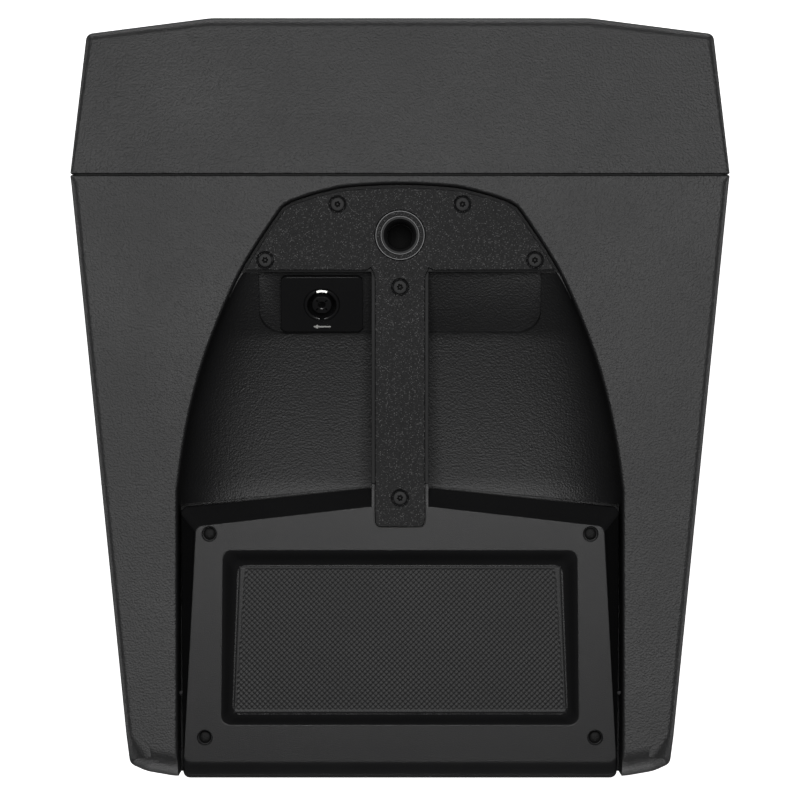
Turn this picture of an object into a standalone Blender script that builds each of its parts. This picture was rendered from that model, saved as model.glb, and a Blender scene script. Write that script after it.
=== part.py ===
"""Portable bass cabinet with an arched hand recess, a steel pole plate and a rear tray cover.

The cabinet stands on its feet on z = 0, faces -Y, and its width runs along X. All the constants
and helper arguments below are millimetres; MM turns them into metres where meshes are made.
"""

import math

import bmesh
import bpy
from mathutils import Matrix, Vector

MM = 0.001

# Overall box, wall thickness and sides of a round part
HEIGHT = 620.0
FOOT_H = 10.0
HALF_WIDTH = 220.0
FRONT_Y = -254.3
REAR_Y = 253.0
COVER_REAR_Y = 254.3
WALL = 6.0
ROUND = 24

# Parting line between the front and rear mouldings
FRONT_PART_Y = -149.35
REAR_PART_Y = -148.75
PART_CHAMFER = 1.2

# Radial clearance round a part that sits in a bore
FIT = 0.3

# Front moulding
FRONT_SLOPE_DROP = 8.0
FACET_X = 126.7
FRONT_SIDE = (210.7, -243.0)
FRONT_CORNER = (208.0, -243.7)
FRONT_BORDER = 14.0
BAFFLE_FRONT_Y = -214.0
BAFFLE_T = 15.0

# Rear moulding
REAR_SIDE = (180.7, 244.7)
REAR_FACETS = ((170.0, 249.5), (159.0, 252.0), (150.3, 253.0))
REAR_TOP_R = 18.0
EDGE_R = 5.0

# Arched hand recess: half outline from the middle of the arch to the straight rear walls
ARCH = (
    (0.0, -142.7),
    (34.0, -141.0),
    (50.0, -138.0),
    (64.0, -134.0),
    (75.5, -129.3),
    (82.6, -121.5),
    (103.8, -88.7),
    (118.0, -58.7),
    (129.5, -28.7),
    (138.1, 1.3),
    (144.1, 31.3),
    (148.2, 61.3),
)
CHANNEL_X = 150.6
SEAT_DEPTH = 18.0
SEAT_END_Y = -83.5
PAD_END_Y = -42.0
PAD_ANGLE = math.radians(27.0)
PAD_HALF_X = 94.7
SCOOP_DEPTH = 60.0
COVER_BAY_Y = 72.7
COVER_BAY_MID_Y = 59.6
COVER_BAY_DEPTH = 62.0
AMP_CHANNEL_Y = 236.0
AMP_BAY = (-141.0, 141.0, 36.0, 548.0)

# Steel handle plate and the grip moulded under it
PLATE_SINK = 2.0
PLATE_T = 4.0
PLATE_CLEAR = 2.2
HEAD_END_Y = -85.3
STEM_HALF_X = 16.65
STEM_END_Y = 85.9
GRIP_HEAD_T = 11.6
GRIP_HALF_X = 19.0
GRIP_STEM_H = 18.0
GRIP_END_Y = 57.0
PLATE_SCREWS = ((41.7, -129.3), (-41.7, -129.3), (90.0, -92.0), (-90.0, -92.0), (0.0, -74.0), (0.0, 66.7))

# Pole socket
POLE_Y = -108.6
POLE_HOLE_R = 10.0
POLE_FLANGE_R = 16.4
POLE_BODY_R = 12.85
POLE_DEPTH = 58.0

# Output plate and socket on the sloped pad
OUT_X = 52.5
OUT_W = 54.9
OUT_L = 41.0
OUT_T = 1.6
OUT_ALONG = 23.3
SOCKET_SLOT_R = 9.65
SOCKET_CORE_R = 6.65
SOCKET_RING_R = 12.0

# Rear top cover and its tray
COVER_FACE_DROP = 6.0
COVER_FRONT_X = 147.0
COVER_REAR_X = 145.2
COVER_SCREWS = ((127.3, 90.7), (-127.3, 90.7), (130.3, 226.7), (-130.3, 226.7))
TRAY_FRONT_Y = 102.7
TRAY_REAR_Y = 217.7
TRAY_FRONT_X = 117.5
TRAY_REAR_X = 118.8
TRAY_DEPTH = 8.0

# Woofer
WOOFER_Z = 392.0
WOOFER_R = 190.0
BAFFLE_HOLE_R = 181.0
PORT_X = 112.0
PORT_Z = 112.0
PORT_R = 50.0

# Rear amplifier: heights and positions are (x, z) on the panel
AMP_Y = 236.0
PANEL_FACE_Y = 238.65
BOARD_Y = 200.0
INPUT_AT = (64.0, 488.0)
LINK_AT = (64.0, 440.0)
KNOB_AT = (8.0, 488.0)
BOOST_AT = (8.0, 452.0)
VOICE_AT = (8.0, 428.0)
LIGHT_1_AT = (-30.0, 496.0)
LIGHT_2_AT = (-30.0, 484.0)
INLET_AT = (-86.0, 420.0)
SWITCH_AT = (-86.0, 480.0)
ROCKER_Y = 235.5
ROCKER_REST = 8.0

# Feet
FEET = ((165.0, -120.0), (-165.0, -120.0), (135.0, 215.0), (-135.0, 215.0))


def clear_scene():
    for item in list(bpy.data.objects):
        bpy.data.objects.remove(item, do_unlink=True)


def material(name, rgb, roughness, metallic=0.0):
    made = bpy.data.materials.new(name)
    made.use_nodes = True
    node = made.node_tree.nodes["Principled BSDF"]
    node.inputs["Base Color"].default_value = (*rgb, 1.0)
    node.inputs["Roughness"].default_value = roughness
    node.inputs["Metallic"].default_value = metallic
    return made


def finish(name, bm, paint=None):
    """Turns a mesh drawn in millimetres into a named object in metres."""
    bmesh.ops.remove_doubles(bm, verts=bm.verts, dist=1e-4)
    bmesh.ops.recalc_face_normals(bm, faces=bm.faces)
    bmesh.ops.scale(bm, vec=Vector((MM, MM, MM)), verts=bm.verts)
    mesh = bpy.data.meshes.new(name)
    bm.to_mesh(mesh)
    bm.free()
    made = bpy.data.objects.new(name, mesh)
    bpy.context.scene.collection.objects.link(made)
    if paint is not None:
        mesh.materials.append(paint)
    return made


def loft(rings):
    """Closed skin through rings of equal length, with both end rings capped."""
    bm = bmesh.new()
    rows = [[bm.verts.new(Vector(p)) for p in ring] for ring in rings]
    count = len(rows[0])
    for lower, upper in zip(rows, rows[1:]):
        for i in range(count):
            j = (i + 1) % count
            bm.faces.new((lower[i], lower[j], upper[j], upper[i]))
    bm.faces.new(list(reversed(rows[0])))
    bm.faces.new(rows[-1])
    return bm


def prism(outline, z0, z1):
    return loft([[(x, y, z0) for x, y in outline], [(x, y, z1) for x, y in outline]])


def prism_x(outline, x0, x1):
    """Prism along X from an outline of (y, z) points."""
    return loft([[(x0, y, z) for y, z in outline], [(x1, y, z) for y, z in outline]])


def prism_y(outline, y0, y1):
    """Prism along Y from an outline of (x, z) points."""
    return loft([[(x, y0, z) for x, z in outline], [(x, y1, z) for x, z in outline]])


def lathe(profile, steps=48):
    """Revolves a closed loop of (radius, height) points about Z."""
    bm = bmesh.new()
    rows = []
    for radius, height in profile:
        if radius < 1e-6:
            rows.append([bm.verts.new((0.0, 0.0, height))])
            continue
        ring = []
        for i in range(steps):
            a = 2.0 * math.pi * i / steps
            ring.append(bm.verts.new((radius * math.cos(a), radius * math.sin(a), height)))
        rows.append(ring)
    for k, lower in enumerate(rows):
        upper = rows[(k + 1) % len(rows)]
        if len(lower) == 1 and len(upper) == 1:
            continue
        for i in range(steps):
            j = (i + 1) % steps
            corners = [lower[i % len(lower)], lower[j % len(lower)]]
            corners += [upper[j % len(upper)], upper[i % len(upper)]]
            bm.faces.new(list(dict.fromkeys(corners)))
    return bm


def bore(radius, low, high, steps):
    """Solid cylinder about Z, used to cut a round hole."""
    return lathe([(0.0, low), (radius, low), (radius, high), (0.0, high)], steps)


def placed(bm, matrix):
    bmesh.ops.transform(bm, matrix=matrix, verts=bm.verts)
    return bm


def at(x, y, z):
    return Matrix.Translation((x, y, z))


def facing_rear(x, y, z):
    """Takes local +Z to +Y, local +X to +X, and the origin to the given point."""
    turn = Matrix(((1, 0, 0, 0), (0, 0, 1, 0), (0, -1, 0, 0), (0, 0, 0, 1)))
    return at(x, y, z) @ turn


def on_pad(x, along, lift):
    """A frame on the sloped pad: local +Y runs down the slope, +Z leaves the surface."""
    turn = Matrix.Rotation(-PAD_ANGLE, 4, "X")
    return at(x, SEAT_END_Y, HEIGHT - SEAT_DEPTH) @ turn @ at(0.0, along, lift)


def rounded(half_x, half_y, radius, steps=5, cx=0.0, cy=0.0):
    points = []
    for sx, sy, start in ((1, 1, 0.0), (-1, 1, 0.5), (-1, -1, 1.0), (1, -1, 1.5)):
        for i in range(steps + 1):
            a = math.pi * (start + 0.5 * i / steps)
            x = cx + sx * (half_x - radius) + radius * math.cos(a)
            y = cy + sy * (half_y - radius) + radius * math.sin(a)
            points.append((x, y))
    return points


def block(x0, x1, y0, y1, z0, z1):
    return prism([(x0, y0), (x1, y0), (x1, y1), (x0, y1)], z0, z1)


def rounded_plate_y(cx, cz, half_x, half_z, radius, y0, y1, steps=4):
    """Plate standing in the XZ plane with rounded corners."""
    return prism_y(rounded(half_x, half_z, radius, steps, cx, cz), y0, y1)


def shrink(outline, distance):
    """Moves every side of a closed anticlockwise outline inwards."""
    moved = []
    count = len(outline)
    for i in range(count):
        before = Vector(outline[i - 1])
        here = Vector(outline[i])
        after = Vector(outline[(i + 1) % count])
        d0 = (here - before).normalized()
        d1 = (after - here).normalized()
        n0 = Vector((-d0.y, d0.x))
        n1 = Vector((-d1.y, d1.x))
        bisector = n0 + n1
        scale = 2.0 / bisector.length_squared
        moved.append(tuple(here + bisector * scale * distance))
    return moved


def combine(target, tool, operation):
    step = target.modifiers.new(operation, "BOOLEAN")
    step.operation = operation
    step.solver = "EXACT"
    step.object = tool
    graph = bpy.context.evaluated_depsgraph_get()
    result = bpy.data.meshes.new_from_object(target.evaluated_get(graph))
    target.modifiers.clear()
    spent = target.data
    target.data = result
    bpy.data.meshes.remove(spent)
    bpy.data.objects.remove(tool, do_unlink=True)
    return target


def cut(target, bm):
    return combine(target, finish("cutter", bm), "DIFFERENCE")


def add(target, bm):
    return combine(target, finish("addition", bm), "UNION")


def keep(target, bm):
    return combine(target, finish("limit", bm), "INTERSECT")


def tidy(target):
    """Merges coplanar faces so that only real edges remain."""
    bm = bmesh.new()
    bm.from_mesh(target.data)
    bmesh.ops.remove_doubles(bm, verts=bm.verts, dist=2e-6)
    bmesh.ops.dissolve_limit(bm, angle_limit=math.radians(0.5), verts=bm.verts, edges=bm.edges)
    bm.to_mesh(target.data)
    bm.free()
    return target


def soften(target, radius, segments, wanted):
    """Rounds the convex edges that the wanted(edge) test picks, in millimetres."""
    bm = bmesh.new()
    bm.from_mesh(target.data)
    bmesh.ops.scale(bm, vec=Vector((1 / MM, 1 / MM, 1 / MM)), verts=bm.verts)
    picked = [e for e in bm.edges if len(e.link_faces) == 2 and wanted(e)]
    bmesh.ops.bevel(bm, geom=picked, offset=radius, segments=segments, profile=0.5, affect="EDGES")
    bmesh.ops.scale(bm, vec=Vector((MM, MM, MM)), verts=bm.verts)
    bm.to_mesh(target.data)
    bm.free()
    return target


def set_origin(target, x, y, z):
    """Puts an object's origin at a point in millimetres and leaves its shape where it is."""
    point = Vector((x, y, z)) * MM
    target.data.transform(Matrix.Translation(-point))
    target.location = point


def shade_round_parts():
    for item in bpy.data.objects:
        item.data.shade_smooth()
        item.data.set_sharp_from_angle(angle=math.radians(28.0))


def sharp(edge, degrees=25.0):
    return edge.is_convex and math.degrees(edge.calc_face_angle(0.0)) > degrees


def mirrored(half):
    """Closed anticlockwise outline from a half outline that runs front to rear at x >= 0."""
    left = [(-x, y) for x, y in reversed(half) if x > 1e-6]
    return list(half) + left


def smooth_half(points, per_span=3):
    """Catmull-Rom curve through the half outline, level where it crosses the middle."""
    ends = [(-points[1][0], points[1][1])] + list(points)
    last = (2 * points[-1][0] - points[-2][0], 2 * points[-1][1] - points[-2][1])
    ends.append(last)
    curve = []
    for k in range(1, len(ends) - 2):
        a, b, c, d = (Vector(p) for p in ends[k - 1 : k + 3])
        for i in range(per_span):
            t = i / per_span
            square = (2 * a - 5 * b + 4 * c - d) * t * t
            cube = (3 * b - a - 3 * c + d) * t**3
            p = 0.5 * (2 * b + (c - a) * t + square + cube)
            curve.append((max(p.x, 0.0), p.y))
    curve.append(points[-1])
    return curve


def arch_half_width(y):
    """Half width of the hand recess at a given depth."""
    curve = smooth_half(ARCH, 6)
    for (x0, y0), (x1, y1) in zip(curve, curve[1:]):
        if y0 <= y <= y1:
            return x0 + (x1 - x0) * (y - y0) / (y1 - y0)
    return CHANNEL_X


def arch_head(end_y):
    """Closed outline of the arch from its middle back to end_y."""
    half = [p for p in smooth_half(ARCH, 3) if p[1] < end_y - 1.0]
    half.append((arch_half_width(end_y), end_y))
    return mirrored(half)


def scoop_depth(y):
    """Depth of the recess floor below the top, along the middle."""
    if y <= PAD_END_Y:
        return SEAT_DEPTH + (y - SEAT_END_Y) * math.tan(PAD_ANGLE)
    start = SEAT_DEPTH + (PAD_END_Y - SEAT_END_Y) * math.tan(PAD_ANGLE)
    t = min((y - PAD_END_Y) / (COVER_BAY_Y - 14.0 - PAD_END_Y), 1.0)
    return start + (SCOOP_DEPTH - start) * (1.35 * t - 0.35 * t * t)


def scoop_ring(y, grow):
    """Superellipse section of the hand recess, open above the top, widened by grow."""
    half = arch_half_width(y) + grow
    depth = scoop_depth(y) + grow
    points = []
    steps = 16
    for i in range(steps + 1):
        a = math.pi * i / steps
        c = math.cos(a)
        s = math.sin(a)
        x = half * math.copysign(abs(c) ** 0.5, c)
        z = HEIGHT - depth * abs(s) ** 0.55
        points.append((x, y, z))
    points.append((-half, y, HEIGHT + 30.0))
    points.append((half, y, HEIGHT + 30.0))
    return points


def recess_parts(grow):
    """The volumes that form the hand recess and the rear bays; grow widens each of them."""
    arch = arch_head(SEAT_END_Y)
    if grow:
        arch = shrink(arch, -grow)
    seat = prism(arch, HEIGHT - SEAT_DEPTH - grow, HEIGHT + 30.0)
    stations = [SEAT_END_Y - 0.6 - grow, -76.0, -66.0, -54.0, -42.0, -28.0, -12.0, 6.0, 24.0, 42.0, 58.0]
    stations.append(COVER_BAY_Y + 2.0)
    scoop = loft([scoop_ring(y, grow) for y in stations])
    half = CHANNEL_X + grow
    bay_floor = HEIGHT - COVER_BAY_DEPTH - grow
    side_y = COVER_BAY_Y - 1.2 - grow
    mid_y = COVER_BAY_MID_Y - grow
    far = REAR_Y + 20.0
    plan = [(-half, far), (-half, side_y), (-22.0, mid_y), (22.0, mid_y), (half, side_y), (half, far)]
    bay = prism(plan, bay_floor, HEIGHT + 30.0)
    channel = block(-half, half, AMP_CHANNEL_Y - grow, REAR_Y + 20.0, FOOT_H + 18.0 - grow, HEIGHT + 30.0)
    return seat, scoop, bay, channel


def body_profile(front_y, inset, front_drop):
    """Side view outline of a moulding, from its front plane to the rounded rear."""
    top = HEIGHT - inset
    bottom = FOOT_H + inset
    rear = REAR_Y - inset
    r = REAR_TOP_R - inset * 0.5
    outline = [(front_y, bottom + front_drop)]
    for i in range(6):
        a = math.radians(-90.0 + 18.0 * i)
        outline.append((rear - r + r * math.cos(a), bottom + r + r * math.sin(a)))
    for i in range(6):
        a = math.radians(18.0 * i)
        outline.append((rear - r + r * math.cos(a), top - r + r * math.sin(a)))
    outline.append((front_y, top - front_drop))
    return outline


def rear_plan():
    half = [(HALF_WIDTH, REAR_PART_Y), REAR_SIDE, *REAR_FACETS]
    return [(x, y) for x, y in half] + [(-x, y) for x, y in reversed(half)]


def front_plan():
    half = [(HALF_WIDTH, FRONT_PART_Y), FRONT_SIDE, FRONT_CORNER, (FACET_X, FRONT_Y)]
    return [(-x, y) for x, y in half] + [(x, y) for x, y in reversed(half)]


def parting(edge, y):
    return all(abs(v.co.y - y) < 0.05 for v in edge.verts)


def make_rear_shell(paint):
    plan = rear_plan()
    body = finish("rear_shell", prism(plan, FOOT_H - 5.0, HEIGHT + 5.0), paint)
    keep(body, prism_x(body_profile(REAR_PART_Y - 5.0, 0.0, 0.0), -260.0, 260.0))
    tidy(body)
    soften(body, EDGE_R, 3, lambda e: sharp(e, 30.0) and not parting(e, REAR_PART_Y))
    soften(body, PART_CHAMFER, 1, lambda e: parting(e, REAR_PART_Y) and sharp(e, 30.0))

    inner_plan = shrink(plan, WALL)
    inner = [(x, y if y > REAR_PART_Y + 20.0 else REAR_PART_Y - 20.0) for x, y in inner_plan]
    cavity = finish("cavity", prism(inner, FOOT_H + WALL, HEIGHT - WALL))
    keep(cavity, prism_x(body_profile(REAR_PART_Y - 30.0, WALL, 0.0), -260.0, 260.0))
    for volume in recess_parts(WALL):
        cut(cavity, volume)
    combine(body, cavity, "DIFFERENCE")
    for volume in recess_parts(0.0):
        cut(body, volume)

    pad = prism(rounded(PAD_HALF_X, 40.0, 17.0, 5, 0.0, 4.0), -1.5, 60.0)
    cut(body, placed(pad, on_pad(0.0, 0.0, 0.0)))
    cut(body, placed(bore(17.0, -40.0, 4.0, ROUND), on_pad(OUT_X, OUT_ALONG, 0.0)))
    cut(body, placed(bore(POLE_BODY_R + FIT, HEIGHT - 40.0, HEIGHT, ROUND), at(0.0, POLE_Y, 0.0)))
    for x, y in PLATE_SCREWS[:4]:
        cut(body, placed(bore(2.8, HEIGHT - 30.0, HEIGHT, 12), at(x, y, 0.0)))
    x0, x1, z0, z1 = AMP_BAY
    cut(body, rounded_plate_y((x0 + x1) / 2, (z0 + z1) / 2, (x1 - x0) / 2, (z1 - z0) / 2, 6.0, 215.0, 262.0))
    return tidy(body)


def make_front_shell(paint):
    plan = front_plan()
    body = finish("front_shell", prism(plan, FOOT_H - 5.0, HEIGHT + 5.0), paint)
    side = [
        (FRONT_Y - 10.0, FOOT_H + FRONT_SLOPE_DROP * 1.095),
        (FRONT_PART_Y, FOOT_H),
        (FRONT_PART_Y + 10.0, FOOT_H),
        (FRONT_PART_Y + 10.0, HEIGHT),
        (FRONT_PART_Y, HEIGHT),
        (FRONT_Y - 10.0, HEIGHT - FRONT_SLOPE_DROP * 1.095),
    ]
    keep(body, prism_x(side, -260.0, 260.0))
    tidy(body)
    soften(body, EDGE_R, 3, lambda e: sharp(e, 30.0) and not parting(e, FRONT_PART_Y))
    soften(body, PART_CHAMFER, 1, lambda e: parting(e, FRONT_PART_Y) and sharp(e, 30.0))

    inner = shrink(plan, WALL)
    rear_hollow = [(x, y if y < FRONT_PART_Y - 20.0 else FRONT_PART_Y + 20.0) for x, y in inner]
    drop = FRONT_SLOPE_DROP
    hollow = finish("hollow", prism(rear_hollow, FOOT_H + WALL + drop, HEIGHT - WALL - drop))
    back_y = BAFFLE_FRONT_Y + BAFFLE_T
    keep(hollow, block(-260.0, 260.0, back_y, FRONT_PART_Y + 30.0, 0.0, HEIGHT))
    combine(body, hollow, "DIFFERENCE")

    z_mid = HEIGHT / 2 + FOOT_H / 2
    z_half = HEIGHT / 2 - FOOT_H / 2 - FRONT_SLOPE_DROP - FRONT_BORDER
    x_half = FRONT_CORNER[0] - FRONT_BORDER + 3.0
    cut(body, rounded_plate_y(0.0, z_mid, x_half, z_half, 12.0, FRONT_Y - 20.0, BAFFLE_FRONT_Y))
    cut(body, placed(bore(BAFFLE_HOLE_R, -30.0, 40.0, 32), facing_rear(0.0, BAFFLE_FRONT_Y, WOOFER_Z)))
    for side_x in (-PORT_X, PORT_X):
        mouth = bore(PORT_R + 3.4, -30.0, 40.0, ROUND)
        cut(body, placed(mouth, facing_rear(side_x, BAFFLE_FRONT_Y, PORT_Z)))
    return tidy(body)


def make_gasket(paint):
    y0 = FRONT_PART_Y + 0.04
    y1 = REAR_PART_Y - 0.04
    half_z = (HEIGHT - FOOT_H) / 2
    mid_z = HEIGHT / 2 + FOOT_H / 2
    outside = rounded_plate_y(0.0, mid_z, HALF_WIDTH - 2.6, half_z - 2.6, 3.0, y0, y1)
    inside = rounded_plate_y(0.0, mid_z, HALF_WIDTH - WALL, half_z - WALL, 2.0, y0 - 5.0, y1 + 5.0)
    return cut(finish("shell_gasket", outside, paint), inside)


def grille_line(offset):
    """Front face line of the three facets, moved back by offset, from -X to +X."""
    slope = (FRONT_CORNER[1] - FRONT_Y) / (FRONT_CORNER[0] - FACET_X)
    end_x = FRONT_CORNER[0] - FRONT_BORDER + 2.2
    end_y = FRONT_Y + slope * (end_x - FACET_X) + offset
    return [(-end_x, end_y), (-FACET_X, FRONT_Y + offset), (FACET_X, FRONT_Y + offset), (end_x, end_y)]


def make_faceted_sheet(name, offset, thick, inset, paint):
    line = grille_line(offset)
    back = [(x, y + thick) for x, y in reversed(line)]
    z0 = FOOT_H + FRONT_SLOPE_DROP + FRONT_BORDER + inset
    z1 = HEIGHT - FRONT_SLOPE_DROP - FRONT_BORDER - inset
    sheet = finish(name, prism(line + back, z0, z1), paint)
    half_x = line[-1][0] - (inset - 0.8)
    middle = (z0 + z1) / 2
    half_z = (z1 - z0) / 2
    return keep(sheet, rounded_plate_y(0.0, middle, half_x, half_z, 11.0, FRONT_Y - 30.0, FRONT_Y + 60.0))


def plate_outline(clear):
    """T outline of the handle plate: arch head and straight stem."""
    head = shrink(arch_head(HEAD_END_Y), clear)
    right = [p for p in head if p[0] >= -1e-6]
    right.sort(key=lambda p: (p[1], p[0]))
    edge_x = arch_half_width(HEAD_END_Y) - clear * 1.12
    right = [p for p in right if p[1] < HEAD_END_Y - 2.0]
    right.append((edge_x, HEAD_END_Y))
    right.append((22.0, HEAD_END_Y))
    right.append((19.5, HEAD_END_Y - 1.8))
    right.append((STEM_HALF_X, HEAD_END_Y + 4.5))
    for i in range(5):
        a = math.radians(22.5 * i)
        x = STEM_HALF_X - 4.0 + 4.0 * math.cos(a)
        y = STEM_END_Y - 4.0 + 4.0 * math.sin(a)
        right.append((x, y))
    left = [(-x, y) for x, y in reversed(right) if x > 1e-6]
    return right + left


def screw_hole(x, y, top, through):
    """Countersunk clearance hole, widest at the top."""
    wide = [(0.0, top + 2.0), (5.9, top + 2.0), (5.9, top - 0.3)]
    narrow = [(2.9, top - 3.3), (2.9, through), (0.0, through)]
    return placed(lathe(wide + narrow, 12), at(x, y, 0.0))


def make_plate(paint):
    top = HEIGHT - PLATE_SINK
    plate = finish("handle_plate", prism(plate_outline(PLATE_CLEAR), top - PLATE_T, top), paint)
    soften(plate, 0.6, 1, lambda e: sharp(e, 60.0) and all(v.co.z > top - 0.1 for v in e.verts))
    cut(plate, placed(bore(POLE_FLANGE_R + FIT, top - 9.0, top + 2.0, ROUND), at(0.0, POLE_Y, 0.0)))
    for x, y in PLATE_SCREWS:
        cut(plate, screw_hole(x, y, top, top - 20.0))
    return plate


def make_grip(paint):
    top = HEIGHT - PLATE_SINK - PLATE_T - 0.2
    head = shrink(arch_head(SEAT_END_Y + 0.6), 1.4)
    grip = finish("handle_grip", prism(head, top - GRIP_HEAD_T, top), paint)
    w = GRIP_HALF_X
    low = top - GRIP_STEM_H
    section = [(w, top), (w, low + 9.0), (w - 1.5, low + 4.5), (w - 5.0, low + 1.4), (w - 11.0, low)]
    section += [(-x, z) for x, z in reversed(section)]
    stem = finish("stem", prism_y(section, -95.0, GRIP_END_Y))
    cut(stem, block(-40.0, 40.0, -140.0, SEAT_END_Y + 1.0, top - 60.0, top - GRIP_HEAD_T + 2.0))
    cut(stem, placed(block(-40.0, 40.0, -0.6, 60.0, -40.0, 0.6), on_pad(0.0, 0.0, 0.0)))
    combine(grip, stem, "UNION")
    cut(grip, placed(bore(POLE_BODY_R + FIT, top - 40.0, top + 5.0, ROUND), at(0.0, POLE_Y, 0.0)))
    for x, y in PLATE_SCREWS[:5]:
        cut(grip, placed(bore(2.9, top - 16.4, top + 4.0, 12), at(x, y, 0.0)))
    return tidy(grip)


def make_pole_socket(paint):
    top = HEIGHT - PLATE_SINK
    bottom = HEIGHT - POLE_DEPTH
    hole_floor = bottom + 3.0
    profile = [
        (0.0, hole_floor),
        (POLE_HOLE_R - 1.2, hole_floor),
        (POLE_HOLE_R - 1.2, hole_floor + 4.0),
        (POLE_HOLE_R, hole_floor + 5.5),
        (POLE_HOLE_R, top - 1.2),
        (POLE_HOLE_R + 0.9, top - 0.2),
        (POLE_HOLE_R + 0.9, top + 0.6),
        (POLE_BODY_R, top + 0.6),
        (POLE_BODY_R + 0.5, top + 0.1),
        (POLE_FLANGE_R - 0.6, top + 0.1),
        (POLE_FLANGE_R, top - 0.5),
        (POLE_FLANGE_R, top - PLATE_T + 0.05),
        (POLE_BODY_R, top - PLATE_T + 0.05),
        (POLE_BODY_R, bottom),
        (0.0, bottom),
    ]
    return finish("pole_socket", placed(lathe(profile, ROUND), at(0.0, POLE_Y, 0.0)), paint)


def make_plate_screw(index, x, y, paint):
    top = HEIGHT - PLATE_SINK
    length = 15.0 if index < 5 else 16.5
    profile = [
        (0.0, top - 2.2),
        (1.3, top - 1.8),
        (1.5, top - 0.3),
        (3.9, top - 0.3),
        (4.65, top - 0.9),
        (4.65, top - 1.3),
        (2.5, top - 3.5),
        (2.5, top - length),
        (0.0, top - length),
    ]
    return finish(f"plate_screw_{index + 1}", placed(lathe(profile, 10), at(x, y, 0.0)), paint)


def cover_outline(drop, bevel):
    """Outline of the top cover at a level; bevel 0 is the skirt and 1 the face edge."""
    fx = COVER_FRONT_X - 10.0 * bevel
    rx = COVER_REAR_X - 0.8 * bevel
    side_front = 74.0 + 11.6 * bevel
    mid_front = 62.0 + 11.6 * bevel
    rear = COVER_REAR_Y - drop
    half = [
        (22.0, mid_front - 1.6),
        (fx - 6.0, side_front - 1.2),
        (fx - 1.6, side_front + 0.6),
        (fx, side_front + 4.6),
        (rx + 0.2, rear - 10.0),
        (rx, rear - 4.0),
        (rx - 4.0, rear),
    ]
    return half + [(-x, y) for x, y in reversed(half)]


def cover_ring(drop, bevel, z):
    return [(x, y, z) for x, y in cover_outline(drop, bevel)]


def tray_ring(share, z):
    """Tapered outline of the tray: share 0 is its mouth and 1 its floor."""
    x0 = TRAY_FRONT_X - 9.0 * share
    x1 = TRAY_REAR_X - 6.6 * share
    y0 = TRAY_FRONT_Y + 9.0 * share
    y1 = TRAY_REAR_Y - 6.0 * share
    r = 5.0
    front = [(x0 - r, y0), (x0 - 1.4, y0 + 1.4), (x0, y0 + r)]
    rear = [(x1, y1 - r), (x1 - 1.4, y1 - 1.4), (x1 - r, y1)]
    points = front + rear + [(-x, y) for x, y in reversed(front + rear)]
    return [(x, y, z) for x, y in points]


def hollow_ring(drop, bevel, narrow, shorten, z):
    """Inside outline of the cover: its outline drawn in towards the middle of the bay."""
    middle = (COVER_BAY_Y + REAR_Y) / 2 + 1.15
    return [(x * narrow, middle + (y - middle) * shorten, z) for x, y in cover_outline(drop, bevel)]


def make_cover(paint):
    face = HEIGHT - COVER_FACE_DROP
    base = HEIGHT - COVER_BAY_DEPTH + 0.4
    rings = [
        cover_ring(0.0, 0.0, base),
        cover_ring(0.0, 0.0, face - 15.0),
        cover_ring(0.8, 0.3, face - 10.0),
        cover_ring(3.0, 0.84, face - 3.2),
        cover_ring(7.0, 1.0, face - 0.8),
        cover_ring(12.0, 1.1, face),
    ]
    cover = finish("top_cover", loft(rings), paint)
    under_tray = face - TRAY_DEPTH - 4.0
    levels = [
        (0.0, 0.0, 0.972, 0.955, base - 5.0),
        (0.0, 0.0, 0.972, 0.955, face - 40.0),
        (6.0, 0.8, 0.965, 0.94, face - 14.0),
        (9.0, 1.0, 0.965, 0.93, under_tray),
    ]
    cut(cover, loft([hollow_ring(*level) for level in levels]))
    top = HEIGHT - PLATE_SINK - PLATE_T - 0.25
    lap = finish("lap", block(-19.0, 19.0, 52.0, 80.0, face - 20.0, face - 0.05))
    cut(lap, block(-30.0, 30.0, 40.0, GRIP_END_Y + 0.4, face - 60.0, HEIGHT))
    combine(cover, lap, "UNION")
    cut(cover, block(-STEM_HALF_X - 0.5, STEM_HALF_X + 0.5, 40.0, STEM_END_Y + 0.5, top, HEIGHT + 5.0))
    tray = [tray_ring(0.0, face + 2.0), tray_ring(0.0, face - 0.3), tray_ring(1.0, face - TRAY_DEPTH)]
    cut(cover, loft(tray))
    for x, y in COVER_SCREWS:
        seat = face - 6.0
        stem = [(0.0, face - 40.0), (2.6, face - 40.0), (2.6, seat)]
        well = [(4.9, seat), (4.9, face + 2.0), (0.0, face + 2.0)]
        cut(cover, placed(lathe(stem + well, 20), at(x, y, 0.0)))
    cut(cover, placed(bore(2.9, face - 40.0, face + 4.0, 12), at(*PLATE_SCREWS[5], 0.0)))
    return tidy(cover)


def make_mat(paint):
    low = HEIGHT - COVER_FACE_DROP - TRAY_DEPTH + 0.05
    ring = tray_ring(1.1, low)
    upper = [(x, y, low + 1.2) for x, y, _ in ring]
    return finish("cover_mat", loft([ring, upper]), paint)


def make_cover_screw(index, x, y, paint):
    head = HEIGHT - COVER_FACE_DROP - 6.0 + 0.05
    profile = [
        (0.0, head + 1.2),
        (1.4, head + 1.2),
        (1.6, head + 2.6),
        (2.9, head + 2.6),
        (4.0, head + 1.6),
        (4.2, head),
        (2.2, head),
        (2.2, head - 26.0),
        (0.0, head - 26.0),
    ]
    return finish(f"cover_screw_{index + 1}", placed(lathe(profile, 10), at(x, y, 0.0)), paint)


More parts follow.
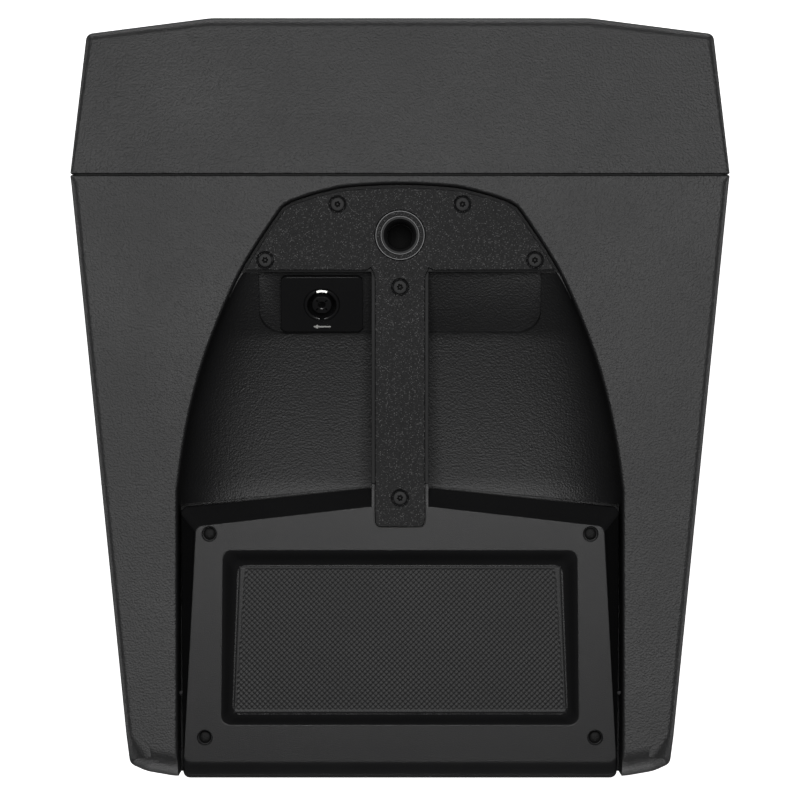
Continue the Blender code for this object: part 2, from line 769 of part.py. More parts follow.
def make_output(plate_paint, socket_paint, latch_paint):
    place = on_pad(OUT_X, OUT_ALONG, 0.0)
    plate = prism(rounded(OUT_W / 2, OUT_L / 2, 4.0, 4), -1.45, -1.45 + OUT_T)
    plate = finish("output_plate", placed(plate, place), plate_paint)
    cut(plate, placed(bore(SOCKET_RING_R + 0.2, -20.0, 20.0, ROUND), place))

    profile = [
        (0.0, -30.0),
        (SOCKET_RING_R + 3.0, -30.0),
        (SOCKET_RING_R + 3.0, -2.2),
        (SOCKET_RING_R, -2.2),
        (SOCKET_RING_R, 0.9),
        (SOCKET_RING_R - 0.8, 1.5),
        (SOCKET_SLOT_R, 1.5),
        (SOCKET_SLOT_R, -18.0),
        (SOCKET_CORE_R, -18.0),
        (SOCKET_CORE_R, 0.2),
        (SOCKET_CORE_R - 0.8, 0.9),
        (2.4, 0.9),
        (2.4, -9.0),
        (0.0, -9.0),
    ]
    socket = finish("output_socket", placed(lathe(profile, ROUND), place), socket_paint)
    for near, far in ((-10.8, -6.0), (6.0, 10.8)):
        cut(socket, placed(block(-2.4, 2.4, near, far, -9.0, 4.0), place))
    latch = block(-2.0, 2.0, -10.5, -9.9, -8.6, 1.2)
    finish("output_latch", placed(latch, place), latch_paint)


def make_woofer(paints):
    place = facing_rear(0.0, BAFFLE_FRONT_Y, WOOFER_Z)
    steel, rubber, pulp, felt, copper, cloth, zinc, ferrite = paints

    frame = [
        (172.0, -7.0),
        (WOOFER_R, -7.0),
        (WOOFER_R, -0.1),
        (179.0, -0.1),
        (177.0, 12.0),
        (118.0, 66.0),
        (92.0, 72.0),
        (88.0, 87.0),
        (60.0, 87.0),
        (60.0, 84.0),
        (85.2, 84.0),
        (88.0, 69.0),
        (116.0, 62.5),
        (173.5, 10.0),
        (172.0, -3.0),
    ]
    basket = finish("woofer_basket", placed(lathe(frame, ROUND), place), steel)
    opening = [(107.0, -24.0), (165.3, -38.0), (165.3, 38.0), (107.0, 24.0)]
    for i in range(6):
        turn = Matrix.Rotation(math.radians(60.0 * i + 33.0), 4, "Z")
        cut(basket, placed(placed(prism(opening, 5.0, 100.0), turn), place))
    tidy(basket)

    roll = []
    for i in range(6):
        a = math.pi - math.pi * i / 5
        roll.append((159.5 + 11.0 * math.cos(a), -3.4 - 10.0 * math.sin(a)))
    inner = []
    for i in range(6):
        a = math.pi * i / 5
        inner.append((159.5 + 9.6 * math.cos(a), -3.4 - 8.6 * math.sin(a)))
    surround_line = [(147.0, -3.4), *roll, (171.6, -3.4), (171.6, -2.0), *inner, (147.0, -2.0)]
    surround = finish("woofer_surround", placed(lathe(surround_line, ROUND), place), rubber)

    cone_line = [
        (150.0, -1.6),
        (150.0, -0.4),
        (143.0, 4.6),
        (110.0, 27.0),
        (74.0, 46.0),
        (40.0, 58.4),
        (40.0, 56.6),
        (74.0, 44.2),
        (110.0, 25.2),
        (143.0, 2.8),
        (146.0, -1.6),
    ]
    cone = finish("woofer_cone", placed(lathe(cone_line, ROUND), place), pulp)
    dome = []
    for i in range(5):
        a = math.radians(90.0 * i / 4)
        dome.append((58.0 * math.sin(a), 49.3 - 17.0 * math.cos(a)))
    under = []
    for i in range(5):
        a = math.radians(90.0 - 90.0 * i / 4)
        under.append((56.6 * math.sin(a), 49.3 - 15.6 * math.cos(a)))
    dome[-1] = (58.0, 49.2)
    under[0] = (56.8, 49.8)
    cap = finish("dust_cap", placed(lathe(dome + under, ROUND), place), felt)

    coil_wall = [(37.2, 56.0), (38.7, 56.0), (38.7, 112.0), (37.2, 112.0)]
    coil = finish("voice_coil", placed(lathe(coil_wall, ROUND), place), copper)
    for moving in (cone, cap, coil):
        set_origin(moving, 0.0, BAFFLE_FRONT_Y, WOOFER_Z)

    wave = [(39.2, 68.0)]
    crests = 3
    for i in range(1, 2 * crests):
        wave.append((39.2 + 44.0 * i / (2 * crests), 68.0 + (1.6 if i % 2 else -1.6)))
    wave.append((84.4, 68.0))
    back_wave = [(r, h + 0.8) for r, h in reversed(wave)]
    spider = finish("spider", placed(lathe(wave + back_wave, ROUND), place), cloth)

    ring = [(39.6, 87.3), (72.0, 87.3), (72.0, 97.0), (39.6, 97.0)]
    washer = finish("top_plate", placed(lathe(ring, ROUND), place), zinc)
    ring = [(50.0, 97.3), (84.0, 97.3), (86.0, 99.3), (86.0, 125.0), (84.0, 127.0), (50.0, 127.0)]
    magnet = finish("magnet", placed(lathe(ring, ROUND), place), ferrite)
    pole = [
        (12.0, 87.5),
        (36.4, 87.5),
        (36.4, 127.3),
        (74.0, 127.3),
        (76.0, 129.3),
        (76.0, 137.0),
        (74.0, 139.0),
        (12.0, 139.0),
    ]
    back = finish("back_plate", placed(lathe(pole, ROUND), place), zinc)
    return basket, surround, cone, cap, coil, spider, washer, magnet, back


def make_port(name, x, paint):
    r = PORT_R
    flare = []
    for i in range(5):
        a = math.radians(22.5 * i)
        flare.append((r + 8.0 - 8.0 * math.sin(a), -5.0 + 8.0 - 8.0 * math.cos(a)))
    profile = [*flare, (r, 160.0), (r + 3.0, 160.0), (r + 3.0, -0.1), (r + 11.0, -0.1), (r + 11.0, -5.0)]
    return finish(name, placed(lathe(profile, ROUND), facing_rear(x, BAFFLE_FRONT_Y, PORT_Z)), paint)


def rear_lathe(name, profile, x, z, paint, steps=32):
    """Turned part whose axis leaves the amplifier panel; heights run from the panel face outwards."""
    return finish(name, placed(lathe(profile, steps), facing_rear(x, AMP_Y, z)), paint)


def round_hole(x, z, r, steps=20):
    return placed(bore(r, -20.0, 20.0, steps), facing_rear(x, AMP_Y, z))


def square_hole(x, z, half_x, half_z, r=1.0):
    return rounded_plate_y(x, z, half_x, half_z, r, AMP_Y - 20.0, AMP_Y + 20.0, 2)


def make_amp_panel(paint):
    x0, x1, z0, z1 = AMP_BAY
    half_x = (x1 - x0) / 2 + 5.0
    half_z = (z1 - z0) / 2 + 5.0
    panel = rounded_plate_y(0.0, (z0 + z1) / 2, half_x, half_z, 8.0, AMP_Y + 0.15, PANEL_FACE_Y)
    panel = finish("amp_panel", panel, paint)
    holes = [
        round_hole(*INPUT_AT, 11.8),
        square_hole(INPUT_AT[0], INPUT_AT[1] + 12.6, 3.8, 2.5),
        round_hole(*LINK_AT, 11.8),
        round_hole(*KNOB_AT, 4.3),
        round_hole(*BOOST_AT, 4.3),
        round_hole(*VOICE_AT, 4.3),
        round_hole(*LIGHT_1_AT, 1.8, 12),
        round_hole(*LIGHT_2_AT, 1.8, 12),
        square_hole(INLET_AT[0], INLET_AT[1], 12.8, 23.3),
        square_hole(SWITCH_AT[0], SWITCH_AT[1], 11.0, 12.9),
    ]
    for hole in holes:
        cut(panel, hole)
    return tidy(panel)


def make_heatsink(paint):
    """Extruded aluminium block with upright fins."""
    base = PANEL_FACE_Y + 0.25
    half = 118.0
    fins = 20
    pitch = 2.0 * half / fins
    outline = [(-half, base), (half, base)]
    for i in range(fins):
        x = half - i * pitch
        outline += [(x, base + 13.6), (x - 2.6, base + 13.6)]
        outline += [(x - 3.2, base + 3.2), (x - pitch + 0.6, base + 3.2)]
    outline[-2:] = [(-half + pitch - 3.2, base + 3.2), (-half, base + 3.2)]
    return finish("heatsink", prism(outline, 62.0, 232.0), paint)


def make_socket(name, x, z, slotted, pins, paint):
    """Round three-pin panel socket on a rectangular flange."""
    face = PANEL_FACE_Y - AMP_Y
    socket = finish(name, placed(bore(11.5, -28.0, face + 1.0, ROUND), facing_rear(x, AMP_Y, z)), paint)
    add(socket, rounded_plate_y(x, z, 13.0, 15.5, 2.0, PANEL_FACE_Y + 0.25, PANEL_FACE_Y + 2.25, 3))
    cut(socket, placed(bore(8.7, -15.0, 12.0, ROUND), facing_rear(x, AMP_Y, z)))
    for dx, dz in ((-3.6, 2.2), (3.6, 2.2), (0.0, -4.6)):
        place = facing_rear(x + dx, AMP_Y, z + dz)
        if pins:
            add(socket, placed(bore(1.2, -18.0, 0.0, 8), place))
        else:
            cut(socket, placed(bore(1.4, -22.0, 12.0, 8), place))
    if slotted:
        cut(socket, placed(bore(2.2, -25.0, 12.0, 12), facing_rear(x, AMP_Y, z)))
        slot = rounded_plate_y(x, z + 12.6, 3.6, 2.2, 0.3, AMP_Y - 6.0, AMP_Y + 11.0, 1)
        cut(socket, slot)
    return socket


def make_controls(black, steel, knob_paint, lamps):
    face = PANEL_FACE_Y - AMP_Y
    make_socket("input_socket", *INPUT_AT, True, False, black)
    tab_x, tab_z = INPUT_AT[0], INPUT_AT[1] + 12.6
    tab = rounded_plate_y(tab_x, tab_z, 3.2, 1.8, 0.4, AMP_Y - 2.0, AMP_Y + 7.6, 1)
    tab = finish("input_release", tab, steel)
    set_origin(tab, tab_x, AMP_Y, tab_z)
    make_socket("link_socket", *LINK_AT, False, True, black)

    pot = [
        (0.0, -14.0),
        (8.2, -14.0),
        (8.2, -1.0),
        (4.0, -1.0),
        (4.0, face + 1.2),
        (2.9, face + 1.2),
        (2.9, face + 9.0),
        (0.0, face + 9.0),
    ]
    rear_lathe("level_pot", pot, *KNOB_AT, steel, 12)
    knob = [
        (0.0, face + 13.2),
        (7.4, face + 13.2),
        (8.0, face + 12.4),
        (8.8, face + 2.6),
        (8.8, face + 0.8),
        (4.6, face + 0.8),
        (4.6, face + 2.2),
        (3.2, face + 2.2),
        (3.2, face + 9.4),
        (0.0, face + 9.4),
    ]
    knob = rear_lathe("level_knob", knob, *KNOB_AT, knob_paint, 18)
    x, z = KNOB_AT
    cut(knob, block(x - 0.6, x + 0.6, PANEL_FACE_Y + 12.4, PANEL_FACE_Y + 16.0, z + 2.0, z + 12.0))
    set_origin(knob, x, PANEL_FACE_Y, z)
    button = [
        (0.0, -9.0),
        (2.0, -9.0),
        (2.0, -4.5),
        (5.6, -4.5),
        (5.6, -2.6),
        (4.0, -2.6),
        (4.0, face + 3.8),
        (3.4, face + 4.4),
        (0.0, face + 4.4),
    ]
    for name, (x, z) in (("boost_button", BOOST_AT), ("voice_button", VOICE_AT)):
        key = rear_lathe(name, button, x, z, black, 12)
        set_origin(key, x, AMP_Y, z)
    lamp = [(0.0, -4.0), (2.3, -4.0), (2.3, -0.2), (1.5, -0.2)]
    lamp += [(1.5, face + 0.6), (0.9, face + 1.2), (0.0, face + 1.3)]
    rear_lathe("status_light_1", lamp, *LIGHT_1_AT, lamps[0], 8)
    rear_lathe("status_light_2", lamp, *LIGHT_2_AT, lamps[1], 8)

    x, z = INLET_AT
    body = rounded_plate_y(x, z, 12.5, 23.0, 1.0, AMP_Y - 22.0, PANEL_FACE_Y + 1.0, 2)
    inlet = finish("power_inlet", body, black)
    add(inlet, rounded_plate_y(x, z, 15.5, 26.0, 2.0, PANEL_FACE_Y + 0.25, PANEL_FACE_Y + 2.45, 2))
    cut(inlet, rounded_plate_y(x, z + 8.0, 8.2, 12.0, 2.0, AMP_Y - 14.0, AMP_Y + 20.0, 2))
    for dx, dz in ((0.0, 13.0), (-4.0, 6.0), (4.0, 6.0)):
        pin_x = x + dx
        pin_z = z + dz
        add(inlet, block(pin_x - 1.0, pin_x + 1.0, AMP_Y - 17.0, AMP_Y, pin_z - 2.0, pin_z + 2.0))
    cut(inlet, rounded_plate_y(x, z - 14.5, 9.3, 5.3, 0.4, AMP_Y - 18.0, AMP_Y + 20.0, 1))
    tidy(inlet)
    body = rounded_plate_y(x, z - 14.5, 9.0, 5.0, 0.4, AMP_Y - 16.0, PANEL_FACE_Y + 3.4, 1)
    drawer = finish("fuse_drawer", body, black)
    cut(drawer, block(x - 3.2, x + 3.2, AMP_Y - 13.0, AMP_Y - 1.0, z - 12.7, z - 2.0))
    cut(drawer, block(x - 4.0, x + 4.0, PANEL_FACE_Y + 1.8, PANEL_FACE_Y + 8.0, z - 22.0, z - 17.6))
    tidy(drawer)
    set_origin(drawer, x, AMP_Y, z - 14.5)

    x, z = SWITCH_AT
    body = rounded_plate_y(x, z, 10.7, 12.6, 0.8, AMP_Y - 12.0, PANEL_FACE_Y + 1.0, 1)
    frame = finish("power_switch_frame", body, black)
    add(frame, rounded_plate_y(x, z, 12.6, 14.6, 1.2, PANEL_FACE_Y + 0.25, PANEL_FACE_Y + 2.0, 2))
    cut(frame, block(x - 9.3, x + 9.3, AMP_Y - 30.0, AMP_Y + 20.0, z - 11.4, z + 11.4))
    tidy(frame)
    outline = [(-10.0, 7.4), (-9.0, 1.0), (-5.0, -6.5), (5.0, -6.5), (9.0, 1.0), (10.0, 7.4), (0.0, 5.8)]
    turn = Matrix.Rotation(math.radians(ROCKER_REST), 4, "X")
    rocker = placed(prism_x([(y, z0) for z0, y in outline], -8.9, 8.9), at(x, ROCKER_Y, z) @ turn)
    rocker = finish("power_rocker", rocker, black)
    set_origin(rocker, x, ROCKER_Y, z)


def make_inside(board_paint, copper, can):
    board = block(-118.0, 118.0, BOARD_Y, BOARD_Y + 1.6, 256.0, 528.0)
    finish("amp_board", board, board_paint)
    ring = [(14.0, -44.0), (46.0, -44.0), (52.0, -38.0), (52.0, -6.0), (46.0, -0.1), (14.0, -0.1)]
    rear_lathe("transformer", ring, -40.0, 146.0, copper, 16)
    for index, x in enumerate((-60.0, -14.0)):
        body = [(0.0, -60.0), (16.0, -60.0), (17.5, -58.5), (17.5, -0.3), (0.0, -0.3)]
        finish(f"capacitor_{index + 1}", placed(lathe(body, 16), facing_rear(x, BOARD_Y, 300.0)), can)


def make_feet(paint):
    top = FOOT_H - 0.05
    outside = [(0.0, top), (18.0, top), (19.0, top - 1.0), (17.5, 1.2), (16.3, 0.0)]
    profile = [*outside, (5.0, 0.0), (5.0, 4.5), (2.4, 4.5), (2.4, 7.0), (0.0, 7.0)]
    for index, (x, y) in enumerate(FEET):
        finish(f"foot_{index + 1}", placed(lathe(profile, 16), at(x, y, 0.0)), paint)


def build():
    clear_scene()
    moulded = material("textured_plastic", (0.030, 0.030, 0.031), 0.55)
    moulded_front = material("textured_plastic_front", (0.028, 0.028, 0.029), 0.55)
    satin = material("satin_plastic", (0.022, 0.022, 0.023), 0.38)
    grip_paint = material("grip_plastic", (0.035, 0.035, 0.036), 0.45)
    powder = material("powder_coated_steel", (0.020, 0.020, 0.021), 0.5, 0.3)
    mesh_paint = material("grille_steel", (0.015, 0.015, 0.016), 0.5, 0.4)
    foam = material("black_foam", (0.010, 0.010, 0.010), 0.95)
    gasket_paint = material("gasket_rubber", (0.008, 0.008, 0.008), 0.8)
    screw_paint = material("black_screw_steel", (0.030, 0.030, 0.031), 0.35, 0.8)
    socket_steel = material("socket_steel", (0.10, 0.10, 0.105), 0.3, 1.0)
    mat_paint = material("mat_rubber", (0.018, 0.018, 0.018), 0.7)
    gloss = material("socket_plastic", (0.010, 0.010, 0.011), 0.3)
    spring = material("spring_steel", (0.55, 0.55, 0.53), 0.3, 1.0)

    make_rear_shell(moulded)
    make_front_shell(moulded_front)
    make_gasket(gasket_paint)
    make_faceted_sheet("grille", 3.0, 1.5, 0.8, mesh_paint)
    make_faceted_sheet("grille_foam", 4.8, 4.0, 2.5, foam)
    make_plate(powder)
    make_grip(grip_paint)
    make_pole_socket(socket_steel)
    for index, (x, y) in enumerate(PLATE_SCREWS):
        make_plate_screw(index, x, y, screw_paint)
    make_cover(satin)
    make_mat(mat_paint)
    for index, (x, y) in enumerate(COVER_SCREWS):
        make_cover_screw(index, x, y, screw_paint)
    make_output(satin, gloss, spring)

    basket_paint = material("basket_steel", (0.03, 0.03, 0.03), 0.4, 0.6)
    rubber = material("surround_rubber", (0.012, 0.012, 0.012), 0.6)
    pulp = material("paper_cone", (0.02, 0.02, 0.021), 0.85)
    felt = material("dust_cap_paper", (0.018, 0.018, 0.018), 0.8)
    copper = material("coil_copper", (0.60, 0.25, 0.10), 0.35, 1.0)
    cloth = material("spider_cloth", (0.45, 0.28, 0.10), 0.9)
    zinc = material("zinc_plate", (0.50, 0.50, 0.48), 0.35, 1.0)
    ferrite = material("ferrite", (0.06, 0.06, 0.065), 0.5)
    make_woofer((basket_paint, rubber, pulp, felt, copper, cloth, zinc, ferrite))
    port_paint = material("port_plastic", (0.02, 0.02, 0.02), 0.5)
    make_port("port_tube_left", PORT_X, port_paint)
    make_port("port_tube_right", -PORT_X, port_paint)

    panel_paint = material("panel_steel", (0.018, 0.018, 0.019), 0.45, 0.4)
    alloy = material("heatsink_alloy", (0.03, 0.03, 0.032), 0.4, 0.9)
    black = material("connector_plastic", (0.012, 0.012, 0.013), 0.4)
    nickel = material("nickel_steel", (0.45, 0.45, 0.44), 0.3, 1.0)
    knob_paint = material("knob_plastic", (0.02, 0.02, 0.021), 0.5)
    green = material("green_lens", (0.02, 0.35, 0.06), 0.25)
    red = material("red_lens", (0.45, 0.02, 0.02), 0.25)
    board_paint = material("circuit_board", (0.01, 0.08, 0.03), 0.5)
    winding = material("copper_winding", (0.50, 0.22, 0.08), 0.4, 0.8)
    can = material("capacitor_sleeve", (0.02, 0.02, 0.03), 0.35)
    foot_paint = material("foot_rubber", (0.012, 0.012, 0.012), 0.75)
    make_amp_panel(panel_paint)
    make_heatsink(alloy)
    make_controls(black, nickel, knob_paint, (green, red))
    make_inside(board_paint, winding, can)
    make_feet(foot_paint)
    shade_round_parts()


build()
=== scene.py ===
"""Looks of the portable bass cabinet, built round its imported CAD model.

The cabinet stands on z = 0 and faces -Y. Shape constants and helper arguments are millimetres;
MM turns them into metres where meshes are made. Lights, camera and textures are in metres.
"""

import math

import bmesh
import bpy
from mathutils import Matrix, Vector


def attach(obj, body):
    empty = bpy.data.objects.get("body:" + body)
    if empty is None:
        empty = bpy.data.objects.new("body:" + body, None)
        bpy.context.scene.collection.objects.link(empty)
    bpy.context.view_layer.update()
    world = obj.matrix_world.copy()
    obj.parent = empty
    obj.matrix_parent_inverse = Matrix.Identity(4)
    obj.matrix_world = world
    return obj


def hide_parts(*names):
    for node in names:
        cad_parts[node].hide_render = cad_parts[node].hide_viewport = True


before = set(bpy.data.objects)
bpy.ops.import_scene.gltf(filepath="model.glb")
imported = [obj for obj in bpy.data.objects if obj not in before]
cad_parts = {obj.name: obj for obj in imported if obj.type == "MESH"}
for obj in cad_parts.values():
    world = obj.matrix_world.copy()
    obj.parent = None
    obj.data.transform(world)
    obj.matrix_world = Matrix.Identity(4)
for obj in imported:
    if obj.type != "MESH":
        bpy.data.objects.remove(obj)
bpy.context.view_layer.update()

MM = 0.001
HEIGHT = 620.0
FOOT_H = 10.0
HALF_WIDTH = 220.0
FRONT_Y = -254.3
REAR_Y = 253.0
COVER_REAR_Y = 254.3
WALL = 6.0
FRONT_PART_Y = -149.35
REAR_PART_Y = -148.75
PART_CHAMFER = 1.2
FRONT_SLOPE_DROP = 8.0
FACET_X = 126.7
FRONT_SIDE = (210.7, -243.0)
FRONT_CORNER = (208.0, -243.7)
FRONT_BORDER = 14.0
BAFFLE_FRONT_Y = -214.0
BAFFLE_T = 15.0
REAR_SIDE = (180.7, 244.7)
REAR_FACETS = ((170.0, 249.5), (159.0, 252.0), (150.3, 253.0))
REAR_TOP_R = 18.0
EDGE_R = 5.0
ARCH = (
    (0.0, -142.7),
    (34.0, -141.0),
    (50.0, -138.0),
    (64.0, -134.0),
    (75.5, -129.3),
    (82.6, -121.5),
    (103.8, -88.7),
    (118.0, -58.7),
    (129.5, -28.7),
    (138.1, 1.3),
    (144.1, 31.3),
    (148.2, 61.3),
)
ARCH_EDGE_R = 2.4
CHANNEL_X = 148.3
SEAT_DEPTH = 18.0
SEAT_END_Y = -83.5
PAD_END_Y = -42.0
PAD_ANGLE = math.radians(27.0)
PAD_HALF_X = 94.7
SCOOP_DEPTH = 60.0
COVER_BAY_Y = 72.7
COVER_BAY_MID_Y = 59.6
COVER_BAY_DEPTH = 62.0
AMP_CHANNEL_Y = 236.0
AMP_BAY = (-141.0, 141.0, 36.0, 548.0)
PLATE_SINK = 2.0
PLATE_T = 4.0
PLATE_CLEAR = 2.2
HEAD_END_Y = -85.3
STEM_HALF_X = 16.65
STEM_END_Y = 85.9
GRIP_END_Y = 57.0
PLATE_SCREWS = ((41.7, -129.3), (-41.7, -129.3), (90.0, -92.0), (-90.0, -92.0), (0.0, -74.0), (0.0, 66.7))
POLE_Y = -108.6
POLE_HOLE_R = 10.0
POLE_FLANGE_R = 16.4
POLE_BODY_R = 12.85
POLE_DEPTH = 58.0
FIT = 0.3
OUT_X = 52.5
OUT_ALONG = 23.3
OUT_W = 54.9
OUT_L = 41.0
OUT_T = 1.6
SOCKET_SLOT_R = 9.65
SOCKET_CORE_R = 6.65
SOCKET_RING_R = 12.0
COVER_FACE_DROP = 6.0
COVER_FRONT_X = 147.0
COVER_REAR_X = 145.2
COVER_FLANGE_X = (140.0, 147.9)
COVER_TAB_X = (144.0, 147.9)
COVER_TAB_Y = (196.4, 198.6)
COVER_SCREWS = ((127.3, 90.7), (-127.3, 90.7), (130.3, 226.7), (-130.3, 226.7))
TRAY_FRONT_Y = 102.7
TRAY_REAR_Y = 217.7
TRAY_FRONT_X = 117.5
TRAY_REAR_X = 118.8
TRAY_DEPTH = 8.0
MAT_BUMP_PITCH = 3.6
MAT_BUMP_H = 0.42
WOOFER_Z = 392.0
BAFFLE_HOLE_R = 181.0
PORT_X = 112.0
PORT_Z = 112.0
PORT_R = 50.0
PANEL_FACE_Y = 238.65
KNOB_AT = (8.0, 488.0)
KNOB_SWEEP = 150.0
SCALE_MARKS = 11
GRILLE_PITCH = 7.0
GRILLE_HOLE = 2.55
ROUND = 72
MOTTLE = 0.12
STAGE_HALF = 4.0
CAMERA_LIFT = 4.0
VIEW_WIDTH = 0.53333


# ---------------------------------------------------------------- mesh helpers


def drawn(name, bm):
    """Turns a mesh drawn in millimetres into a named object in metres."""
    bmesh.ops.remove_doubles(bm, verts=bm.verts, dist=1e-4)
    bmesh.ops.recalc_face_normals(bm, faces=bm.faces)
    bmesh.ops.scale(bm, vec=Vector((MM, MM, MM)), verts=bm.verts)
    mesh = bpy.data.meshes.new(name)
    bm.to_mesh(mesh)
    bm.free()
    made = bpy.data.objects.new(name, mesh)
    bpy.context.scene.collection.objects.link(made)
    return made


def loft(rings):
    bm = bmesh.new()
    rows = [[bm.verts.new(Vector(p)) for p in ring] for ring in rings]
    count = len(rows[0])
    for lower, upper in zip(rows, rows[1:]):
        for i in range(count):
            j = (i + 1) % count
            bm.faces.new((lower[i], lower[j], upper[j], upper[i]))
    bm.faces.new(list(reversed(rows[0])))
    bm.faces.new(rows[-1])
    return bm


def prism(outline, z0, z1):
    return loft([[(x, y, z0) for x, y in outline], [(x, y, z1) for x, y in outline]])


def prism_x(outline, x0, x1):
    return loft([[(x0, y, z) for y, z in outline], [(x1, y, z) for y, z in outline]])


def prism_y(outline, y0, y1):
    return loft([[(x, y0, z) for x, z in outline], [(x, y1, z) for x, z in outline]])


def lathe(profile, steps=ROUND):
    bm = bmesh.new()
    rows = []
    for radius, height in profile:
        if radius < 1e-6:
            rows.append([bm.verts.new((0.0, 0.0, height))])
            continue
        ring = []
        for i in range(steps):
            a = 2.0 * math.pi * i / steps
            ring.append(bm.verts.new((radius * math.cos(a), radius * math.sin(a), height)))
        rows.append(ring)
    for k, lower in enumerate(rows):
        upper = rows[(k + 1) % len(rows)]
        if len(lower) == 1 and len(upper) == 1:
            continue
        for i in range(steps):
            j = (i + 1) % steps
            corners = [lower[i % len(lower)], lower[j % len(lower)]]
            corners += [upper[j % len(upper)], upper[i % len(upper)]]
            bm.faces.new(list(dict.fromkeys(corners)))
    return bm


def bore(radius, low, high, steps=ROUND):
    return lathe([(0.0, low), (radius, low), (radius, high), (0.0, high)], steps)


def placed(bm, matrix):
    bmesh.ops.transform(bm, matrix=matrix, verts=bm.verts)
    return bm


def at(x, y, z):
    return Matrix.Translation((x, y, z))


def facing_rear(x, y, z):
    turn = Matrix(((1, 0, 0, 0), (0, 0, 1, 0), (0, -1, 0, 0), (0, 0, 0, 1)))
    return at(x, y, z) @ turn


def on_pad(x, along, lift):
    turn = Matrix.Rotation(-PAD_ANGLE, 4, "X")
    return at(x, SEAT_END_Y, HEIGHT - SEAT_DEPTH) @ turn @ at(0.0, along, lift)


def rounded(half_x, half_y, radius, steps=8, cx=0.0, cy=0.0):
    points = []
    for sx, sy, start in ((1, 1, 0.0), (-1, 1, 0.5), (-1, -1, 1.0), (1, -1, 1.5)):
        for i in range(steps + 1):
            a = math.pi * (start + 0.5 * i / steps)
            x = cx + sx * (half_x - radius) + radius * math.cos(a)
            y = cy + sy * (half_y - radius) + radius * math.sin(a)
            points.append((x, y))
    return points


def block(x0, x1, y0, y1, z0, z1):
    return prism([(x0, y0), (x1, y0), (x1, y1), (x0, y1)], z0, z1)


def plate_y(cx, cz, half_x, half_z, radius, y0, y1, steps=8):
    return prism_y(rounded(half_x, half_z, radius, steps, cx, cz), y0, y1)


def shrink(outline, distance):
    moved = []
    count = len(outline)
    for i in range(count):
        before = Vector(outline[i - 1])
        here = Vector(outline[i])
        after = Vector(outline[(i + 1) % count])
        d0 = (here - before).normalized()
        d1 = (after - here).normalized()
        bisector = Vector((-d0.y, d0.x)) + Vector((-d1.y, d1.x))
        moved.append(tuple(here + bisector * 2.0 / bisector.length_squared * distance))
    return moved


def filleted(corners, steps=6):
    """Polygon with rounded corners, from (x, y, radius) triples."""
    points = []
    count = len(corners)
    for i, (x, y, radius) in enumerate(corners):
        here = Vector((x, y))
        back = (Vector(corners[i - 1][:2]) - here).normalized()
        ahead = (Vector(corners[(i + 1) % count][:2]) - here).normalized()
        if radius <= 0.0:
            points.append((x, y))
            continue
        half_angle = math.acos(max(-1.0, min(1.0, back.dot(ahead)))) / 2
        reach = radius / math.tan(half_angle)
        middle = here + (back + ahead).normalized() * (radius / math.sin(half_angle))
        start = here + back * reach - middle
        end = here + ahead * reach - middle
        sweep = start.angle_signed(end)
        for k in range(steps + 1):
            a = -sweep * k / steps
            c = math.cos(a)
            s = math.sin(a)
            points.append((middle.x + start.x * c - start.y * s, middle.y + start.x * s + start.y * c))
    return points


def combine(target, bm, operation):
    tool = drawn("tool", bm) if isinstance(bm, bmesh.types.BMesh) else bm
    step = target.modifiers.new(operation, "BOOLEAN")
    step.operation = operation
    step.solver = "EXACT"
    step.object = tool
    graph = bpy.context.evaluated_depsgraph_get()
    result = bpy.data.meshes.new_from_object(target.evaluated_get(graph))
    target.modifiers.clear()
    spent = target.data
    target.data = result
    bpy.data.meshes.remove(spent)
    bpy.data.objects.remove(tool, do_unlink=True)
    return target


def cut(target, bm):
    return combine(target, bm, "DIFFERENCE")


def keep(target, bm):
    return combine(target, bm, "INTERSECT")


def merged(target):
    bm = bmesh.new()
    bm.from_mesh(target.data)
    bmesh.ops.remove_doubles(bm, verts=bm.verts, dist=2e-6)
    bmesh.ops.dissolve_limit(bm, angle_limit=math.radians(0.3), verts=bm.verts, edges=bm.edges)
    bm.to_mesh(target.data)
    bm.free()
    return target


def soften(target, radius, segments, wanted):
    bm = bmesh.new()
    bm.from_mesh(target.data)
    bmesh.ops.scale(bm, vec=Vector((1 / MM, 1 / MM, 1 / MM)), verts=bm.verts)
    picked = [e for e in bm.edges if len(e.link_faces) == 2 and wanted(e)]
    bmesh.ops.bevel(bm, geom=picked, offset=radius, segments=segments, profile=0.5, affect="EDGES")
    bmesh.ops.scale(bm, vec=Vector((MM, MM, MM)), verts=bm.verts)
    bm.to_mesh(target.data)
    bm.free()
    return target


def sharp(edge, degrees=25.0):
    return edge.is_convex and math.degrees(edge.calc_face_angle(0.0)) > degrees


def show(target, paint, nodes=(), body="cabinet", crease=30.0):
    """Gives a new piece its paint, its shading and its body, and hides the CAD nodes that it stands for."""
    target.data.materials.clear()
    target.data.materials.append(paint)
    target.data.shade_smooth()
    target.data.set_sharp_from_angle(angle=math.radians(crease))
    even = target.modifiers.new("even", "WEIGHTED_NORMAL")
    even.keep_sharp = True
    even.weight = 90
    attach(target, body)
    if nodes:
        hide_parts(*nodes)
    return target


# ---------------------------------------------------------------- materials


